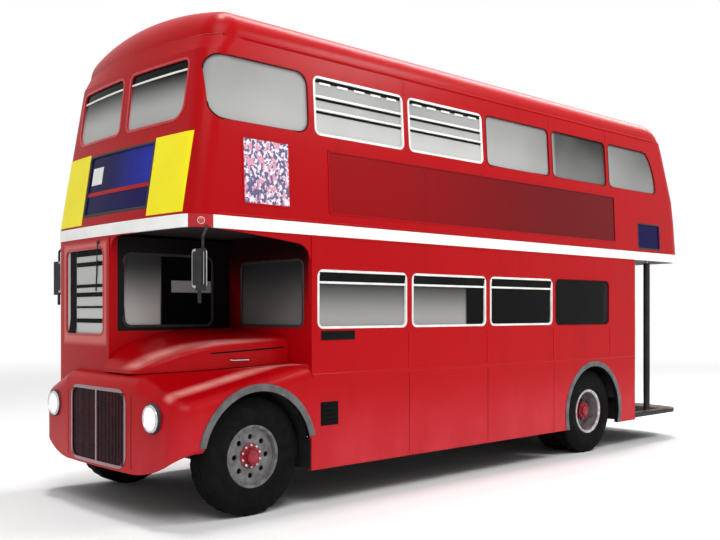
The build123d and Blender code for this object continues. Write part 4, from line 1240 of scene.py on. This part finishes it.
def bonnet_details():
    """The dark joint line along the bonnet's side, and its handle."""
    find = finder(0, 1.6, -1)
    line = [(-3.5 + 0.078 * i, 1.372 + 0.04 * i / 9) for i in range(10)]
    slot = Shape().bead(find, line, flat_bar(0.014, 0.002), False)
    slot.make("bonnet_slot", "gap", "bonnet_lid")
    place = find(-3.25, 1.31)[0]
    path = ((0, -0.09, 0), (0.03, -0.08, 0), (0.03, 0.08, 0), (0, 0.09, 0))
    handle = Shape().tube([place + Vector(step) for step in path], 0.008, 8)
    handle.make("bonnet_handle", "chrome", "bonnet_lid")


def rear_details():
    """Lamps, plain plate, hatch handle and hinges at the rear."""
    red, chrome, hinge = Shape(), Shape(), Shape()
    lamps = [(-1.0, 0.72, 0.04), (-1.0, 0.62, 0.03), (-0.2, 0.72, 0.04)]
    lamps += [(0.75, 2.462, 0.03), (-0.75, 2.462, 0.03)]
    for x, z, r in lamps:
        at, normal = REAR(x, z)
        red.lathe([(0.0, r), (0.005, r * 0.92), (0.007, r * 0.5), (0.008, 0.0)], at, normal, 20)
        chrome.lathe([(-0.004, r + 0.009), (0.004, r + 0.007), (0.005, r), (0.0, r)], at, normal, 20)
    red.make("rear_lamps", "rear_lamp")
    chrome.make("rear_lamp_rims", "chrome")
    plate = Shape().plate(REAR, (-0.72, -0.36), (0.66, 0.8), 0.003, 3, 2)
    plate.make("plain_rear_plate", "white")
    rim = Shape().bead(REAR, rounded((-0.73, -0.35), (0.65, 0.81), 0.02), flat_bar(0.014, 0.005))
    rim.make("rear_plate_rim", "black")
    for x in (-0.35, 0.35):
        at = REAR(x, 3.83)[0]
        hinge.tube([at + Vector((-0.05, 0.004, 0)), at + Vector((0.05, 0.004, 0))], 0.01, 8)
    at = REAR(0.0, 3.31)[0]
    path = ((-0.06, 0, 0), (-0.05, 0.03, 0), (0.05, 0.03, 0), (0.06, 0, 0))
    hinge.tube([at + Vector(step) for step in path], 0.007, 8)
    hinge.make("hatch_hinges", "black", "emergency_exit")


def solids_of(node):
    """The box of each separate solid in a CAD node, as (low, high) corners."""
    bm = bmesh.new()
    bm.from_mesh(NODES[node].data)
    bmesh.ops.remove_doubles(bm, verts=bm.verts, dist=1e-5)
    boxes, seen = [], set()
    for first in bm.verts:
        if first in seen:
            continue
        stack, low, high = [first], first.co.copy(), first.co.copy()
        seen.add(first)
        while stack:
            vert = stack.pop()
            low = Vector(map(min, low, vert.co))
            high = Vector(map(max, high, vert.co))
            for edge in vert.link_edges:
                other = edge.other_vert(vert)
                if other not in seen:
                    seen.add(other)
                    stack.append(other)
        boxes.append((low, high))
    bm.free()
    return boxes


# How far a cushion's faces fall from middle to edge, its edges' radius, and its cells a side
CROWN = 0.016
SOFT_EDGE = 0.03
CELLS = 7


def cushion(shape, low, high):
    """A stuffed block that fills a box: rounded edges, and faces that swell in the middle."""
    centre, half = (low + high) / 2, (high - low) / 2
    r = min(SOFT_EDGE, min(half) * 0.95)
    faces = []
    for i in range(CELLS):
        for j in range(CELLS):
            a = i * (CELLS + 1) + j
            faces.append((a, a + 1, a + CELLS + 2, a + CELLS + 1))
    for axis in range(3):
        u, v = (axis + 1) % 3, (axis + 2) % 3
        for way in (-1, 1):
            verts = []
            for a in run(-1, 1, CELLS):
                for b in run(-1, 1, CELLS):
                    p = [0.0, 0.0, 0.0]
                    p[axis], p[u], p[v] = way, a, b
                    q = [c * h for c, h in zip(p, half)]
                    core = Vector([max(-h + r, min(h - r, c)) for c, h in zip(q, half)])
                    place = core + (Vector(q) - core).normalized() * r
                    place[axis] -= way * CROWN * (1 - (1 - a ** 2) * (1 - b ** 2))
                    verts.append(centre + place)
            shape.add(verts, faces)


def seats():
    """Cushions and backs in the boxes of the CAD's seats, and a handle on each back's corner."""
    lower, upper, driver, rails = Shape(), Shape(), Shape(), Shape()
    for low, high in solids_of("seats"):
        middle = (low + high) / 2
        if middle.y < -2.76 and middle.z < CAB_ROOF_Z:
            cushion(driver, low, Vector((high.x, low.y + 0.43, low.z + 0.1)))
            cushion(driver, Vector((low.x, high.y - 0.072, low.z + 0.07)), high)
        else:
            cushion(upper if middle.z > BETWEEN_DECKS_Z else lower, low, high)
        if high.z - low.z > 0.5 and high.y - low.y < 0.1 and low.y > -3.4:
            x = high.x if high.x < 0 else low.x
            way = 1 if x > 0 else -1
            a = Vector((x + way * 0.03, high.y + 0.012, high.z - 0.16))
            path = ((0, 0, 0), (-0.05 * way, 0, 0), (-0.05 * way, 0, 0.13), (0.05 * way, 0, 0.13))
            rails.tube([a + Vector(step) for step in path], 0.011, 8)
    made = [lower.make("lower_seat_cushions", "moquette", sharp=80)]
    made.append(upper.make("upper_seat_cushions", "moquette", sharp=80))
    made.append(driver.make("driver_seat_cushion", "leather", sharp=80))
    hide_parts("seats")
    rails.make("seat_handles", "steel")


def interior():
    """Ceiling lamps, handrails, stair nosings and a blank notice board."""
    lamps, rails, nosing = Shape(), Shape(), Shape()
    dome = [(0.0, 0.07), (0.015, 0.065), (0.03, 0.03), (0.032, 0.0)]
    for y in (-2.0, -0.8, 0.4, 1.6):
        for x in (-0.75, 0.75):
            for at in ((x, y, 2.438), cast((x, y, 3.6), (0, 0, 1))[0]):
                lamps.lathe(dome, at, (0, 0, -1), 16)
    lamps.make("ceiling_lamps", "lens")
    for x in (-0.27, 0.27):
        rails.tube([(x, -2.6, 2.35), (x, 2.6, 2.35)], 0.014, 8)
        for y in (-2.5, -1.5, -0.06, 1.38, 2.5):
            rails.tube([(x, y, 2.35), (x, y, 2.44)], 0.012, 8)
    rails.make("ceiling_rails", "steel")
    rise = (UPPER_FLOOR_Z - PLATFORM_Z) / STAIRS
    steps = [(2, (-0.785, -0.56), 3.482), (3, (-1.15, -0.79), 3.782)]
    steps += [(4, (-1.15, -0.58), 3.765), (5, (-1.15, -0.58), 3.545), (6, (-1.15, -0.58), 3.355)]
    steps += [(7, (-1.15, -0.58), 3.165), (8, (-1.15, -0.58), 2.975)]
    for k, x, y in steps:
        z = PLATFORM_Z + k * rise
        nosing.box(x, (y, y + 0.028), (z, z + 0.004))
    nosing.make("stair_nosings", "white")
    board = Shape().box((0.62, 0.95), (2.782, 2.79), (0.9, 1.25))
    board.make("platform_notice_board", "white")


def underside():
    """The exhaust pipe and its silencer under the floor."""
    pipe = Shape()
    pipe.tube([(-0.3, -2.9, 0.52), (-0.45, -2.5, 0.46), (-0.48, -1.4, 0.44), (-0.48, -0.25, 0.44)], 0.03, 12)
    pipe.tube([(-0.48, -0.25, 0.44), (-0.48, 0.55, 0.44)], 0.075, 16)
    pipe.tube([(-0.48, 0.55, 0.44), (-0.5, 1.2, 0.4), (-0.5, 2.7, 0.36)], 0.028, 12)
    pipe.make("exhaust", "iron")


def main():
    bpy.context.scene.view_settings.view_transform = "Standard"
    for step in (
        make_camera, make_world, make_lights, make_floor, finish_cad, window_beads, window_bars,
        mouldings, front_signs, posters, corner_lamps, headlamp_fronts, grille_back,
        lower_side_fittings, platform_fittings, wheels, arch_liners, canopy_valance, mirror_heads,
        wiper, cab_details, bonnet_details, rear_details, seats, interior, underside,
    ):
        step()


main()
